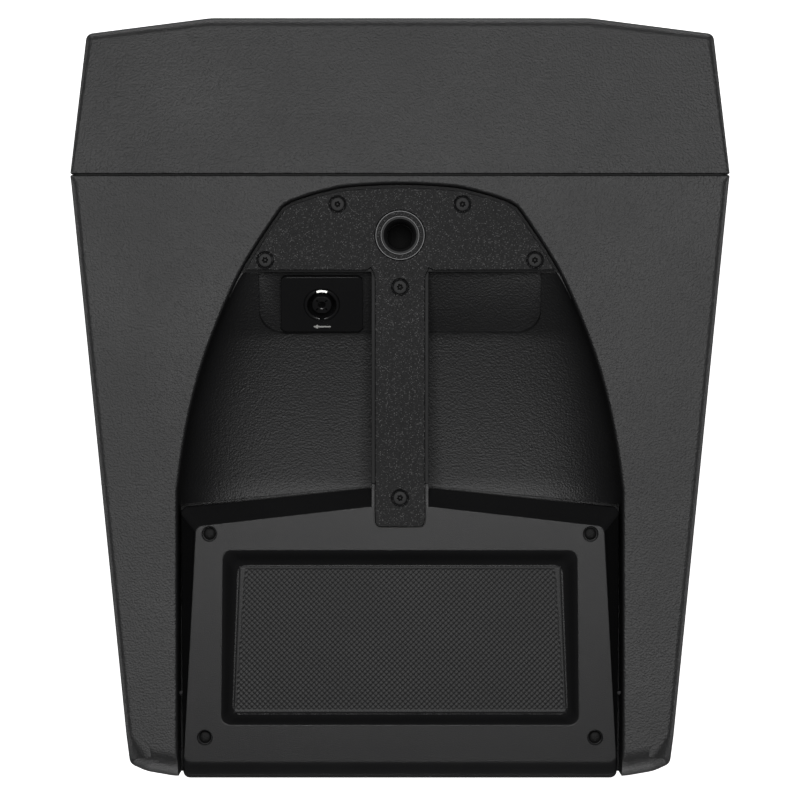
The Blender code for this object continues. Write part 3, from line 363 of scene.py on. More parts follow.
def paint(name, rgb, roughness, metallic=0.0, *, grain, specks=None, edge=0.0, level=0.5):
    """Procedural finish.

    grain is (scale, depth), specks is (scale, share, brightness) of bright dots painted into the
    base colour as glints, edge is the radius of a rounded-edge normal and level is the specular level.
    """
    made = bpy.data.materials.new(name)
    made.use_nodes = True
    nodes = made.node_tree.nodes
    links = made.node_tree.links
    shader = nodes["Principled BSDF"]
    shader.inputs["Metallic"].default_value = metallic
    shader.inputs["Specular IOR Level"].default_value = level
    where = nodes.new("ShaderNodeTexCoord").outputs["Object"]

    broad = nodes.new("ShaderNodeTexNoise")
    broad.inputs["Scale"].default_value = 14.0
    broad.inputs["Detail"].default_value = 5.0
    links.new(where, broad.inputs["Vector"])
    fine = nodes.new("ShaderNodeTexNoise")
    fine.inputs["Scale"].default_value = grain[0] * 0.8
    fine.inputs["Detail"].default_value = 2.0
    links.new(where, fine.inputs["Vector"])
    both = nodes.new("ShaderNodeMath")
    both.operation = "ADD"
    links.new(broad.outputs["Fac"], both.inputs[0])
    links.new(fine.outputs["Fac"], both.inputs[1])
    shade = nodes.new("ShaderNodeMapRange")
    shade.inputs["From Min"].default_value = 0.7
    shade.inputs["From Max"].default_value = 1.3
    shade.inputs["To Min"].default_value = 1.0 - MOTTLE
    shade.inputs["To Max"].default_value = 1.0 + MOTTLE
    links.new(both.outputs[0], shade.inputs["Value"])
    tint = nodes.new("ShaderNodeVectorMath")
    tint.operation = "SCALE"
    tint.inputs[0].default_value = rgb
    links.new(shade.outputs[0], tint.inputs["Scale"])
    colour = tint.outputs[0]
    # Bright dots mixed into the base colour are painted glints of the grain.
    if specks:
        scale, share, brightness = specks
        cells = nodes.new("ShaderNodeTexVoronoi")
        cells.inputs["Scale"].default_value = scale
        links.new(where, cells.inputs["Vector"])
        split = nodes.new("ShaderNodeSeparateColor")
        links.new(cells.outputs["Color"], split.inputs[0])
        pick = nodes.new("ShaderNodeMapRange")
        pick.inputs["From Min"].default_value = 1.0 - share
        pick.inputs["From Max"].default_value = 1.0
        links.new(split.outputs[0], pick.inputs["Value"])
        near = nodes.new("ShaderNodeMapRange")
        near.inputs["From Min"].default_value = 0.55
        near.inputs["From Max"].default_value = 0.15
        links.new(cells.outputs["Distance"], near.inputs["Value"])
        amount = nodes.new("ShaderNodeMath")
        amount.operation = "MULTIPLY"
        links.new(pick.outputs[0], amount.inputs[0])
        links.new(near.outputs[0], amount.inputs[1])
        mix = nodes.new("ShaderNodeMix")
        mix.data_type = "RGBA"
        mix.inputs[7].default_value = (brightness, brightness, brightness, 1.0)
        links.new(amount.outputs[0], mix.inputs[0])
        links.new(colour, mix.inputs[6])
        colour = mix.outputs[2]
    links.new(colour, shader.inputs["Base Color"])

    rough = nodes.new("ShaderNodeMapRange")
    rough.inputs["From Min"].default_value = 0.3
    rough.inputs["From Max"].default_value = 0.7
    rough.inputs["To Min"].default_value = max(roughness - 0.02, 0.05)
    rough.inputs["To Max"].default_value = min(roughness + 0.02, 1.0)
    links.new(broad.outputs["Fac"], rough.inputs["Value"])
    links.new(rough.outputs[0], shader.inputs["Roughness"])

    normal = None
    if edge:
        round_edge = nodes.new("ShaderNodeBevel")
        round_edge.samples = 4
        round_edge.inputs["Radius"].default_value = edge
        normal = round_edge.outputs[0]
    scale, depth = grain
    relief = nodes.new("ShaderNodeTexNoise")
    relief.inputs["Scale"].default_value = scale
    relief.inputs["Detail"].default_value = 3.0
    links.new(where, relief.inputs["Vector"])
    bump = nodes.new("ShaderNodeBump")
    bump.inputs["Distance"].default_value = depth
    bump.inputs["Strength"].default_value = 1.0
    links.new(relief.outputs["Fac"], bump.inputs["Height"])
    if normal is not None:
        links.new(normal, bump.inputs["Normal"])
    links.new(bump.outputs[0], shader.inputs["Normal"])
    return made


SHELL = paint("shell_plastic", (0.0105, 0.0105, 0.011), 0.5, grain=(760.0, 0.00042), level=0.52)
SATIN = paint(
    "satin_plastic", (0.013, 0.013, 0.0135), 0.23, grain=(1500.0, 0.00008), edge=0.0005, level=0.11
)
GRIP = paint(
    "grip_plastic", (0.013, 0.013, 0.0135), 0.5, grain=(1500.0, 0.00004), edge=0.0008, level=0.15
)
# The bright dots in the powder coat are painted glints.
POWDER = paint(
    "powder_coat",
    (0.009, 0.009, 0.0095),
    0.5,
    grain=(1200.0, 0.00034),
    specks=(1300.0, 0.35, 0.2),
    level=0.19,
)
MESH_COAT = paint("grille_coat", (0.010, 0.010, 0.0105), 0.45, grain=(1700.0, 0.00005))
FOAM = paint("foam", (0.006, 0.006, 0.006), 0.95, grain=(1400.0, 0.0004), level=0.2)
RUBBER = paint("rubber", (0.010, 0.010, 0.010), 0.68, grain=(2200.0, 0.00002))
MAT = paint("mat_rubber", (0.011, 0.011, 0.0115), 0.42, grain=(2600.0, 0.00002), level=0.2)
DARK_STEEL = paint("dark_steel", (0.014, 0.014, 0.0145), 0.5, grain=(2400.0, 0.00001), level=0.2)
BLACK_STEEL = paint("black_steel", (0.006, 0.006, 0.006), 0.5, grain=(2400.0, 0.00001), level=0.12)
# Brighter metal used only for the highlight rings on the pole socket: a painted highlight.
HIGHLIGHT_STEEL = paint("socket_steel", (0.05, 0.05, 0.051), 0.38, 0.7, grain=(2400.0, 0.00001))
CONNECTOR = paint("connector_plastic", (0.010, 0.010, 0.0105), 0.34, grain=(2500.0, 0.00001))
BRIGHT_STEEL = paint("bright_steel", (0.62, 0.61, 0.59), 0.26, 1.0, grain=(2600.0, 0.000006))
BASKET = paint("basket_paint", (0.020, 0.020, 0.020), 0.5, 0.3, grain=(1500.0, 0.00004))
PAPER = paint("cone_paper", (0.018, 0.018, 0.0185), 0.85, grain=(900.0, 0.00012))
COPPER = paint("copper", (0.60, 0.25, 0.10), 0.33, 1.0, grain=(1600.0, 0.00004))
CLOTH = paint("spider_cloth", (0.42, 0.25, 0.09), 0.9, grain=(1200.0, 0.00015))
ZINC = paint("zinc", (0.36, 0.36, 0.345), 0.4, 1.0, grain=(1800.0, 0.00001))
FERRITE = paint("ferrite", (0.05, 0.05, 0.055), 0.55, grain=(1500.0, 0.00003))
PORT = paint("port_plastic", (0.014, 0.014, 0.0145), 0.5, grain=(1200.0, 0.00005))
PANEL = paint("panel_paint", (0.013, 0.013, 0.0135), 0.45, 0.2, grain=(1500.0, 0.00006), edge=0.0004)
ALLOY = paint(
    "heatsink_alloy", (0.022, 0.022, 0.023), 0.42, 0.6, grain=(1300.0, 0.00003), edge=0.0003
)
BOARD = paint("circuit_board", (0.01, 0.09, 0.03), 0.45, grain=(700.0, 0.00004))
SLEEVE = paint("capacitor_sleeve", (0.02, 0.02, 0.035), 0.34, grain=(1500.0, 0.00001))
KNOB = paint("knob_plastic", (0.018, 0.018, 0.0185), 0.42, grain=(2200.0, 0.00002), edge=0.0003)
GREEN = paint("green_lens", (0.02, 0.35, 0.06), 0.2, grain=(900.0, 0.00001))
RED = paint("red_lens", (0.45, 0.02, 0.02), 0.2, grain=(900.0, 0.00001))
INK = paint("marking_ink", (0.52, 0.52, 0.50), 0.6, grain=(2000.0, 0.00001))


# ---------------------------------------------------------------- hand recess


def mirrored(half):
    return list(half) + [(-x, y) for x, y in reversed(half) if x > 1e-6]


def smooth_half(points, per_span=8):
    ends = [(-points[1][0], points[1][1])] + list(points)
    ends.append((2 * points[-1][0] - points[-2][0], 2 * points[-1][1] - points[-2][1]))
    curve = []
    for k in range(1, len(ends) - 2):
        a, b, c, d = (Vector(p) for p in ends[k - 1 : k + 3])
        for i in range(per_span):
            t = i / per_span
            square = (2 * a - 5 * b + 4 * c - d) * t * t
            cube = (3 * b - a - 3 * c + d) * t**3
            p = 0.5 * (2 * b + (c - a) * t + square + cube)
            curve.append((max(p.x, 0.0), p.y))
    curve.append(points[-1])
    return curve


def arch_half_width(y):
    curve = smooth_half(ARCH, 12)
    for (x0, y0), (x1, y1) in zip(curve, curve[1:]):
        if y0 <= y <= y1:
            return x0 + (x1 - x0) * (y - y0) / (y1 - y0)
    return CHANNEL_X


def arch_head(end_y):
    half = [p for p in smooth_half(ARCH) if p[1] < end_y - 1.0]
    half.append((arch_half_width(end_y), end_y))
    return mirrored(half)


def scoop_depth(y):
    if y <= PAD_END_Y:
        return SEAT_DEPTH + (y - SEAT_END_Y) * math.tan(PAD_ANGLE)
    start = SEAT_DEPTH + (PAD_END_Y - SEAT_END_Y) * math.tan(PAD_ANGLE)
    t = min((y - PAD_END_Y) / (COVER_BAY_Y - 14.0 - PAD_END_Y), 1.0)
    return start + (SCOOP_DEPTH - start) * (1.35 * t - 0.35 * t * t)


def scoop_ring(y, grow, steps):
    half = arch_half_width(y) + grow
    depth = scoop_depth(y) + grow
    points = []
    for i in range(steps + 1):
        a = math.pi * i / steps
        c = math.cos(a)
        x = half * math.copysign(abs(c) ** 0.5, c)
        points.append((x, y, HEIGHT - depth * abs(math.sin(a)) ** 0.55))
    points.append((-half, y, HEIGHT + 30.0))
    points.append((half, y, HEIGHT + 30.0))
    return points


def recess_parts(grow):
    arch = arch_head(SEAT_END_Y)
    if grow:
        arch = shrink(arch, -grow)
    seat = prism(arch, HEIGHT - SEAT_DEPTH - grow, HEIGHT + 30.0)
    coarse = [SEAT_END_Y - 0.6 - grow, -76.0, -66.0, -54.0, -42.0, -28.0, -12.0, 6.0, 24.0, 42.0, 58.0]
    coarse.append(COVER_BAY_Y + 2.0)
    stations = []
    for a, b in zip(coarse, coarse[1:]):
        stations += [a, (2 * a + b) / 3, (a + 2 * b) / 3] if not grow else [a]
    stations.append(coarse[-1])
    scoop = loft([scoop_ring(y, grow, 16 if grow else 64) for y in stations])
    half = CHANNEL_X + grow
    bay_floor = HEIGHT - COVER_BAY_DEPTH - grow
    side_y = COVER_BAY_Y - 1.2 - grow
    mid_y = COVER_BAY_MID_Y - grow
    far = REAR_Y + 20.0
    plan = [(-half, far), (-half, side_y), (-22.0, mid_y), (22.0, mid_y), (half, side_y), (half, far)]
    bay = prism(plan, bay_floor, HEIGHT + 30.0)
    channel = block(-half, half, AMP_CHANNEL_Y - grow, far, FOOT_H + 18.0 - grow, HEIGHT + 30.0)
    return seat, scoop, bay, channel


def rim_cutter():
    """Rounds the whole top edge of the recess and of the cover bay."""
    half = smooth_half(ARCH)
    half += [(CHANNEL_X, COVER_BAY_Y - 1.2), (CHANNEL_X, REAR_Y + 40.0)]
    outline = mirrored(half)
    rings = [[(x, y, HEIGHT - ARCH_EDGE_R - 6.0) for x, y in shrink(outline, 0.4)]]
    steps = 6
    for i in range(steps + 1):
        a = 0.5 * math.pi * i / steps
        out = ARCH_EDGE_R * (1.0 - math.cos(a))
        z = HEIGHT - ARCH_EDGE_R + ARCH_EDGE_R * math.sin(a)
        rings.append([(x, y, z) for x, y in shrink(outline, -out)])
    rings.append([(x, y, HEIGHT + 20.0) for x, y in shrink(outline, -ARCH_EDGE_R)])
    return loft(rings)


# ---------------------------------------------------------------- shells


def drawn_in(outline, distances):
    """Moves each point of a closed anticlockwise outline inwards by its own distance."""
    moved = []
    count = len(outline)
    for i, distance in enumerate(distances):
        before = Vector(outline[i - 1])
        here = Vector(outline[i])
        after = Vector(outline[(i + 1) % count])
        d0 = (here - before).normalized()
        d1 = (after - here).normalized()
        bisector = Vector((-d0.y, d0.x)) + Vector((-d1.y, d1.x))
        moved.append(tuple(here + bisector * 2.0 / bisector.length_squared * distance))
    return moved


def pillow(outline, radii, top, bottom, steps=8):
    """Upright body whose top and bottom edges are rounded by each outline point's own radius.

    top and bottom give the height of the body's two faces at a depth y.
    """
    rings = []
    for k in range(2 * steps + 2):
        upper = k > steps
        a = 0.5 * math.pi * (k if not upper else 2 * steps + 1 - k) / steps
        ring = []
        reach = [r * (1.0 - math.sin(a)) for r in radii]
        for (x, y), r in zip(drawn_in(outline, reach), radii):
            lift = r * (1.0 - math.cos(a))
            ring.append((x, y, top(y) - lift if upper else bottom(y) + lift))
        rings.append(ring)
    return loft(rings)


def ramp(y, stops):
    """Straight lines between (y, value) stops."""
    if y <= stops[0][0]:
        return stops[0][1]
    for (y0, v0), (y1, v1) in zip(stops, stops[1:]):
        if y <= y1:
            return v0 + (v1 - v0) * (y - y0) / (y1 - y0)
    return stops[-1][1]


def body_profile(front_y, inset, front_drop):
    top = HEIGHT - inset
    bottom = FOOT_H + inset
    rear = REAR_Y - inset
    r = REAR_TOP_R - inset * 0.5
    outline = [(front_y, bottom + front_drop)]
    steps = 12
    for i in range(steps + 1):
        a = math.pi * (i / steps - 1.0) / 2
        outline.append((rear - r + r * math.cos(a), bottom + r + r * math.sin(a)))
    for i in range(steps + 1):
        a = math.pi * i / steps / 2
        outline.append((rear - r + r * math.cos(a), top - r + r * math.sin(a)))
    outline.append((front_y, top - front_drop))
    return outline


def rear_plan():
    half = [(HALF_WIDTH, REAR_PART_Y), REAR_SIDE, *REAR_FACETS]
    return [(x, y) for x, y in half] + [(-x, y) for x, y in reversed(half)]


def front_plan():
    half = [(HALF_WIDTH, FRONT_PART_Y), FRONT_SIDE, FRONT_CORNER, (FACET_X, FRONT_Y)]
    return [(-x, y) for x, y in half] + [(x, y) for x, y in reversed(half)]


def make_rear_shell():
    plan = rear_plan()
    lean = (REAR_SIDE[0] - HALF_WIDTH) / (REAR_SIDE[1] - REAR_PART_Y)
    half = [(HALF_WIDTH, REAR_PART_Y, PART_CHAMFER)]
    for y in (REAR_PART_Y + 5.0, -60.0, 60.0, 160.0, 215.0, 225.0, 232.0):
        half.append((HALF_WIDTH + lean * (y - REAR_PART_Y), y, 0.0))
    half += [(*REAR_SIDE, 6.0), (170.0, 249.7, 30.0), (151.0, REAR_Y, 40.0)]
    outline = filleted(half + [(-x, y, r) for x, y, r in reversed(half)], 8)
    stops = [(REAR_PART_Y, PART_CHAMFER), (REAR_PART_Y + 5.0, EDGE_R), (225.0, EDGE_R), (247.0, REAR_TOP_R)]
    radii = [ramp(y, stops) for x, y in outline]
    body = drawn("rear_moulding", pillow(outline, radii, lambda y: HEIGHT, lambda y: FOOT_H))

    inner_plan = shrink(plan, WALL)
    inner = [(x, y if y > REAR_PART_Y + 20.0 else REAR_PART_Y - 20.0) for x, y in inner_plan]
    cavity = drawn("cavity", prism(inner, FOOT_H + WALL, HEIGHT - WALL))
    keep(cavity, prism_x(body_profile(REAR_PART_Y - 30.0, WALL, 0.0), -260.0, 260.0))
    for volume in recess_parts(WALL):
        cut(cavity, volume)
    combine(body, cavity, "DIFFERENCE")
    for volume in recess_parts(0.0):
        cut(body, volume)
    cut(body, rim_cutter())
    pad = prism(rounded(PAD_HALF_X, 40.0, 17.0, 12, 0.0, 4.0), -1.5, 60.0)
    cut(body, placed(pad, on_pad(0.0, 0.0, 0.0)))
    cut(body, placed(bore(17.0, -40.0, 4.0), on_pad(OUT_X, OUT_ALONG, 0.0)))
    groove = rounded(OUT_W / 2 + 1.0, OUT_L / 2 + 1.0, 5.0, 10)
    cut(body, placed(prism(groove, -3.2, 2.0), on_pad(OUT_X, OUT_ALONG, 0.0)))
    cut(body, placed(bore(POLE_BODY_R + FIT, HEIGHT - 40.0, HEIGHT), at(0.0, POLE_Y, 0.0)))
    for x, y in PLATE_SCREWS[:4]:
        cut(body, placed(bore(2.8, HEIGHT - 30.0, HEIGHT, 24), at(x, y, 0.0)))
    x0, x1, z0, z1 = AMP_BAY
    cut(body, plate_y((x0 + x1) / 2, (z0 + z1) / 2, (x1 - x0) / 2, (z1 - z0) / 2, 6.0, 215.0, 262.0))
    merged(body)
    return show(body, SHELL, ["rear_shell"])


def make_front_shell():
    plan = front_plan()
    half = [(FACET_X, FRONT_Y, 60.0), (209.6, -243.5, 5.0), (HALF_WIDTH, FRONT_PART_Y, PART_CHAMFER)]
    outline = filleted([(-x, y, r) for x, y, r in reversed(half)] + half, 8)
    slope = FRONT_SLOPE_DROP / (FRONT_PART_Y - FRONT_Y)
    stops = [(FRONT_Y, 7.0), (-240.0, EDGE_R), (FRONT_PART_Y - 5.0, EDGE_R), (FRONT_PART_Y, PART_CHAMFER)]
    radii = [ramp(y, stops) for x, y in outline]

    def drop(y):
        return max(0.0, (FRONT_PART_Y - y) * slope)

    block_form = pillow(outline, radii, lambda y: HEIGHT - drop(y), lambda y: FOOT_H + drop(y))
    body = drawn("front_moulding", block_form)

    inner = shrink(plan, WALL)
    hollow_plan = [(x, y if y < FRONT_PART_Y - 20.0 else FRONT_PART_Y + 20.0) for x, y in inner]
    low = FOOT_H + WALL + FRONT_SLOPE_DROP
    high = HEIGHT - WALL - FRONT_SLOPE_DROP
    hollow = drawn("hollow", prism(hollow_plan, low, high))
    back_y = BAFFLE_FRONT_Y + BAFFLE_T
    keep(hollow, block(-260.0, 260.0, back_y, FRONT_PART_Y + 30.0, 0.0, HEIGHT))
    combine(body, hollow, "DIFFERENCE")
    z_mid = HEIGHT / 2 + FOOT_H / 2
    z_half = HEIGHT / 2 - FOOT_H / 2 - FRONT_SLOPE_DROP - FRONT_BORDER
    x_half = FRONT_CORNER[0] - FRONT_BORDER + 3.0
    cut(body, plate_y(0.0, z_mid, x_half, z_half, 12.0, FRONT_Y - 20.0, BAFFLE_FRONT_Y, 12))
    cut(body, placed(bore(BAFFLE_HOLE_R, -30.0, 40.0, 96), facing_rear(0.0, BAFFLE_FRONT_Y, WOOFER_Z)))
    for side_x in (-PORT_X, PORT_X):
        mouth = bore(PORT_R + 3.4, -30.0, 40.0, 64)
        cut(body, placed(mouth, facing_rear(side_x, BAFFLE_FRONT_Y, PORT_Z)))
    merged(body)
    return show(body, SHELL, ["front_shell"])


# ---------------------------------------------------------------- grille


def grille_line(offset):
    slope = (FRONT_CORNER[1] - FRONT_Y) / (FRONT_CORNER[0] - FACET_X)
    end_x = FRONT_CORNER[0] - FRONT_BORDER + 2.2
    end_y = FRONT_Y + slope * (end_x - FACET_X) + offset
    return [(-end_x, end_y), (-FACET_X, FRONT_Y + offset), (FACET_X, FRONT_Y + offset), (end_x, end_y)]


def on_grille(x, lift):
    """Depth of the folded grille at a width, lifted off its front face."""
    end_x, end_y = grille_line(3.0)[3]
    t = max(0.0, (abs(x) - FACET_X) / (end_x - FACET_X))
    return FRONT_Y + 3.0 + (end_y - FRONT_Y - 3.0) * t - lift


def make_grille():
    """Perforated steel sheet with a plain rim, folded along two upright lines."""
    z0 = FOOT_H + FRONT_SLOPE_DROP + FRONT_BORDER + 0.8
    z1 = HEIGHT - FRONT_SLOPE_DROP - FRONT_BORDER - 0.8
    half_x = grille_line(3.0)[3][0]
    rim = 7.0
    row_h = GRILLE_PITCH * math.sqrt(3.0) / 2
    rows = int((z1 - z0 - 2 * rim) / row_h)
    columns = int((2 * half_x - 2 * rim) / GRILLE_PITCH) - 1
    middle = (z0 + z1) / 2
    bm = bmesh.new()
    seen = {}

    def vertex(x, z):
        key = (round(x, 2), round(z, 2))
        if key not in seen:
            seen[key] = bm.verts.new((x, on_grille(x, 0.0), z))
        return seen[key]

    cell_r = GRILLE_PITCH / math.sqrt(3.0)
    for row in range(rows):
        z = middle + (row - (rows - 1) / 2) * row_h
        for column in range(columns):
            x = (column - (columns - 1) / 2 + (0.25 if row % 2 else -0.25)) * GRILLE_PITCH
            outer = []
            inner = []
            for i in range(6):
                a = math.radians(30.0 + 60.0 * i)
                outer.append(vertex(x + cell_r * math.cos(a), z + cell_r * math.sin(a)))
                inner.append(vertex(x + GRILLE_HOLE * math.cos(a), z + GRILLE_HOLE * math.sin(a)))
            for i in range(6):
                j = (i + 1) % 6
                bm.faces.new((outer[i], outer[j], inner[j], inner[i]))
    bmesh.ops.recalc_face_normals(bm, faces=bm.faces)
    for face in bm.faces:
        if face.normal.y > 0.0:
            face.normal_flip()
    sheet = drawn_open("grille_mesh", bm)
    thick = sheet.modifiers.new("thick", "SOLIDIFY")
    thick.thickness = 1.3 * MM
    thick.offset = -1.0
    show(sheet, MESH_COAT, ["grille"])

    band = grille_line(2.9)
    back = [(x, y + 1.8) for x, y in reversed(band)]
    frame_bm = prism(band + back, z0, z1)
    border = drawn("grille_rim", frame_bm)
    keep(border, plate_y(0.0, middle, half_x, (z1 - z0) / 2, 11.0, FRONT_Y - 30.0, FRONT_Y + 60.0, 12))
    in_x = (columns * GRILLE_PITCH) / 2 - 1.0
    in_z = rows * row_h / 2 - 1.0
    cut(border, plate_y(0.0, middle, in_x, in_z, 6.0, FRONT_Y - 40.0, FRONT_Y + 70.0, 10))
    merged(border)
    return show(border, MESH_COAT, ["grille"])


def drawn_open(name, bm):
    """Like drawn, for a sheet whose faces already point the right way."""
    bmesh.ops.scale(bm, vec=Vector((MM, MM, MM)), verts=bm.verts)
    mesh = bpy.data.meshes.new(name)
    bm.to_mesh(mesh)
    bm.free()
    made = bpy.data.objects.new(name, mesh)
    bpy.context.scene.collection.objects.link(made)
    return made


# ---------------------------------------------------------------- handle


def plate_outline(clear):
    head = shrink(arch_head(HEAD_END_Y), clear)
    right = [p for p in head if p[0] >= -1e-6]
    right.sort(key=lambda p: (p[1], p[0]))
    edge_x = arch_half_width(HEAD_END_Y) - clear * 1.12
    right = [p for p in right if p[1] < HEAD_END_Y - 2.0]
    right.append((edge_x, HEAD_END_Y))
    right.append((22.0, HEAD_END_Y))
    right.append((19.5, HEAD_END_Y - 1.8))
    right.append((STEM_HALF_X, HEAD_END_Y + 4.5))
    for i in range(7):
        a = math.radians(15.0 * i)
        x = STEM_HALF_X - 4.0 + 4.0 * math.cos(a)
        y = STEM_END_Y - 4.0 + 4.0 * math.sin(a)
        right.append((x, y))
    kept = [right[0]]
    for point in right[1:]:
        if (Vector(point) - Vector(kept[-1])).length > 0.9:
            kept.append(point)
    return kept + [(-x, y) for x, y in reversed(kept) if x > 1e-6]


def make_plate():
    top = HEIGHT - PLATE_SINK
    outline = plate_outline(PLATE_CLEAR)
    rings = [[(x, y, top - PLATE_T) for x, y in outline]]
    for inset, drop in ((0.0, 0.8), (0.1, 0.4), (0.35, 0.12), (0.75, 0.0)):
        rings.append([(x, y, top - drop) for x, y in shrink(outline, inset)])
    plate = drawn("pole_plate", loft(rings))
    rim = POLE_FLANGE_R + FIT
    well = [(0.0, top - 9.0), (rim, top - 9.0), (rim, top - 0.5)]
    well += [(rim + 0.5, top), (rim + 0.5, top + 2.0), (0.0, top + 2.0)]
    cut(plate, placed(lathe(well), at(0.0, POLE_Y, 0.0)))
    for x, y in PLATE_SCREWS:
        sink = [(0.0, top + 2.0), (6.3, top + 2.0), (6.3, top), (5.95, top - 0.15), (5.75, top - 0.5)]
        sink += [(5.7, top - 2.0), (2.9, top - 3.4), (2.9, top - 20.0)]
        cut(plate, placed(lathe([*sink, (0.0, top - 20.0)], 48), at(x, y, 0.0)))
    return show(plate, POWDER, ["handle_plate"])


def star(radius, inner, lobes=6, steps=5):
    """Outline of a six-lobed driver socket."""
    points = []
    for i in range(lobes * steps):
        a = 2.0 * math.pi * i / (lobes * steps)
        r = inner + (radius - inner) * (0.5 + 0.5 * math.cos(lobes * a))
        points.append((r * math.cos(a), r * math.sin(a)))
    return points


def make_plate_screws():
    top = HEIGHT - PLATE_SINK
    for index, (x, y) in enumerate(PLATE_SCREWS):
        length = 15.0 if index < 5 else 16.5
        profile = [(0.0, top - 0.1), (3.9, top - 0.12), (4.4, top - 0.3)]
        profile += [(4.65, top - 0.65), (4.65, top - 1.3), (2.5, top - 3.5)]
        profile += [(2.5, top - length), (0.0, top - length)]
        screw = drawn(f"countersunk_screw_{index + 1}", placed(lathe(profile, 48), at(x, y, 0.0)))
        turn = Matrix.Rotation(math.radians(17.0 + 23.0 * index), 4, "Z")
        cut(screw, placed(prism(star(2.3, 1.7), top - 2.4, top + 2.0), at(x, y, 0.0) @ turn))
        # A black star laid at the bottom of each driver recess is painted shade that darkens the recess.
        shade_star_form = prism(star(2.2, 1.6), top - 2.3, top - 1.6)
        shade_star = drawn(f"driver_shade_star_{index + 1}", placed(shade_star_form, at(x, y, 0.0) @ turn))
        pin_half = [(0.0, top - 1.7), (0.6, top - 1.7), (0.6, top - 0.5), (0.0, top - 0.4)]
        pin = placed(lathe(pin_half, 24), at(x, y, 0.0))
        show(drawn(f"driver_pin_{index + 1}", pin), DARK_STEEL, [f"plate_screw_{index + 1}"])
        show(shade_star, FOAM, [f"plate_screw_{index + 1}"])
        show(screw, DARK_STEEL, [f"plate_screw_{index + 1}"])


def make_pole_socket():
    top = HEIGHT - PLATE_SINK
    bottom = HEIGHT - POLE_DEPTH
    floor = bottom + 3.0
    r = POLE_HOLE_R
    profile = [(0.0, floor), (r - 1.2, floor), (r - 1.2, floor + 4.0), (r, floor + 5.5)]
    z = floor + 8.0
    pitch = 2.5
    while z < top - 5.0:
        profile += [(r, z), (r - 0.75, z + 0.9), (r - 0.75, z + 1.3), (r, z + 2.2)]
        z += pitch
    profile += [
        (r, top - 1.4),
        (r + 0.85, top - 0.3),
        (r + 0.85, top + 0.55),
        (r + 1.05, top + 0.75),
        (POLE_BODY_R - 0.35, top + 0.75),
        (POLE_BODY_R, top + 0.4),
        (POLE_BODY_R, top - 1.2),
        (POLE_FLANGE_R, top - 1.2),
        (POLE_FLANGE_R, top - PLATE_T + 0.05),
        (POLE_BODY_R, top - PLATE_T + 0.05),
        (POLE_BODY_R, bottom),
        (0.0, bottom),
    ]
    socket = drawn("threaded_pole_socket", placed(lathe(profile, 96), at(0.0, POLE_Y, 0.0)))
    show(socket, DARK_STEEL, ["pole_socket"])
    # The two thin rings of brighter metal on the bush and collar edges are a painted highlight where the
    # chamfered edges catch the light.
    bush_edge = (POLE_BODY_R - 0.4, POLE_BODY_R - 0.05, top + 0.8)
    collar_edge = (POLE_FLANGE_R - 0.5, POLE_FLANGE_R - 0.1, top + 0.32)
    for index, (inner, outer, z) in enumerate((bush_edge, collar_edge)):
        highlight_band = [(inner, z - 0.4), (inner, z), (outer, z), (outer, z - 0.4)]
        ring = placed(lathe(highlight_band, 96), at(0.0, POLE_Y, 0.0))
        show(drawn(f"highlight_edge_{index + 1}", ring), HIGHLIGHT_STEEL, ["pole_socket"])
    # A dark disc on the floor of the pole bore is painted shade that makes the bottom of the deep hole look
    # dark.
    shade_disc = [(0.0, floor + 0.1), (r - 1.5, floor + 0.1), (r - 1.5, floor + 1.6)]
    shade_disc += [(r - 2.5, floor + 2.2), (0.0, floor + 2.2)]
    show(drawn("pole_shade_disc", placed(lathe(shade_disc, 48), at(0.0, POLE_Y, 0.0))), FOAM)
    inside = POLE_BODY_R + 0.12
    flange = [(inside, top - 1.0), (inside, top + 0.1), (POLE_BODY_R + 0.4, top + 0.3)]
    flange += [(POLE_FLANGE_R - 0.7, top + 0.3), (POLE_FLANGE_R - 0.2, top + 0.15)]
    flange += [(POLE_FLANGE_R, top - 0.2), (POLE_FLANGE_R, top - 1.0)]
    collar = drawn("pole_collar", placed(lathe(flange, 96), at(0.0, POLE_Y, 0.0)))
    show(collar, POWDER, ["pole_socket"])


# ---------------------------------------------------------------- top cover


def cover_corners(drop, bevel):
    fx = COVER_FRONT_X - 10.0 * bevel
    rx = COVER_REAR_X - 0.8 * bevel
    side_front = 74.0 + 11.6 * bevel
    mid_front = 62.0 + 11.6 * bevel
    rear = COVER_REAR_Y - drop
    half = [(22.0, mid_front - 1.6, 6.0), (fx, side_front - 0.6, 5.0), (rx, rear, 4.6)]
    return filleted(half + [(-x, y, r) for x, y, r in reversed(half)])


def cover_ring(drop, bevel, z):
    return [(x, y, z) for x, y in cover_corners(drop, bevel)]


def tray_ring(share, z, radius=5.0):
    """Outline of the tray: share 0 is its mouth and 1 its floor."""
    x0 = TRAY_FRONT_X - 9.0 * share
    x1 = TRAY_REAR_X - 6.6 * share
    half = [(x0, TRAY_FRONT_Y + 9.0 * share, radius), (x1, TRAY_REAR_Y - 6.0 * share, radius)]
    outline = filleted(half + [(-x, y, r) for x, y, r in reversed(half)])
    return [(x, y, z) for x, y in outline]


def hollow_ring(drop, bevel, narrow, shorten, z):
    middle = (COVER_BAY_Y + REAR_Y) / 2 + 1.15
    return [(x * narrow, middle + (y - middle) * shorten, z) for x, y in cover_corners(drop, bevel)]


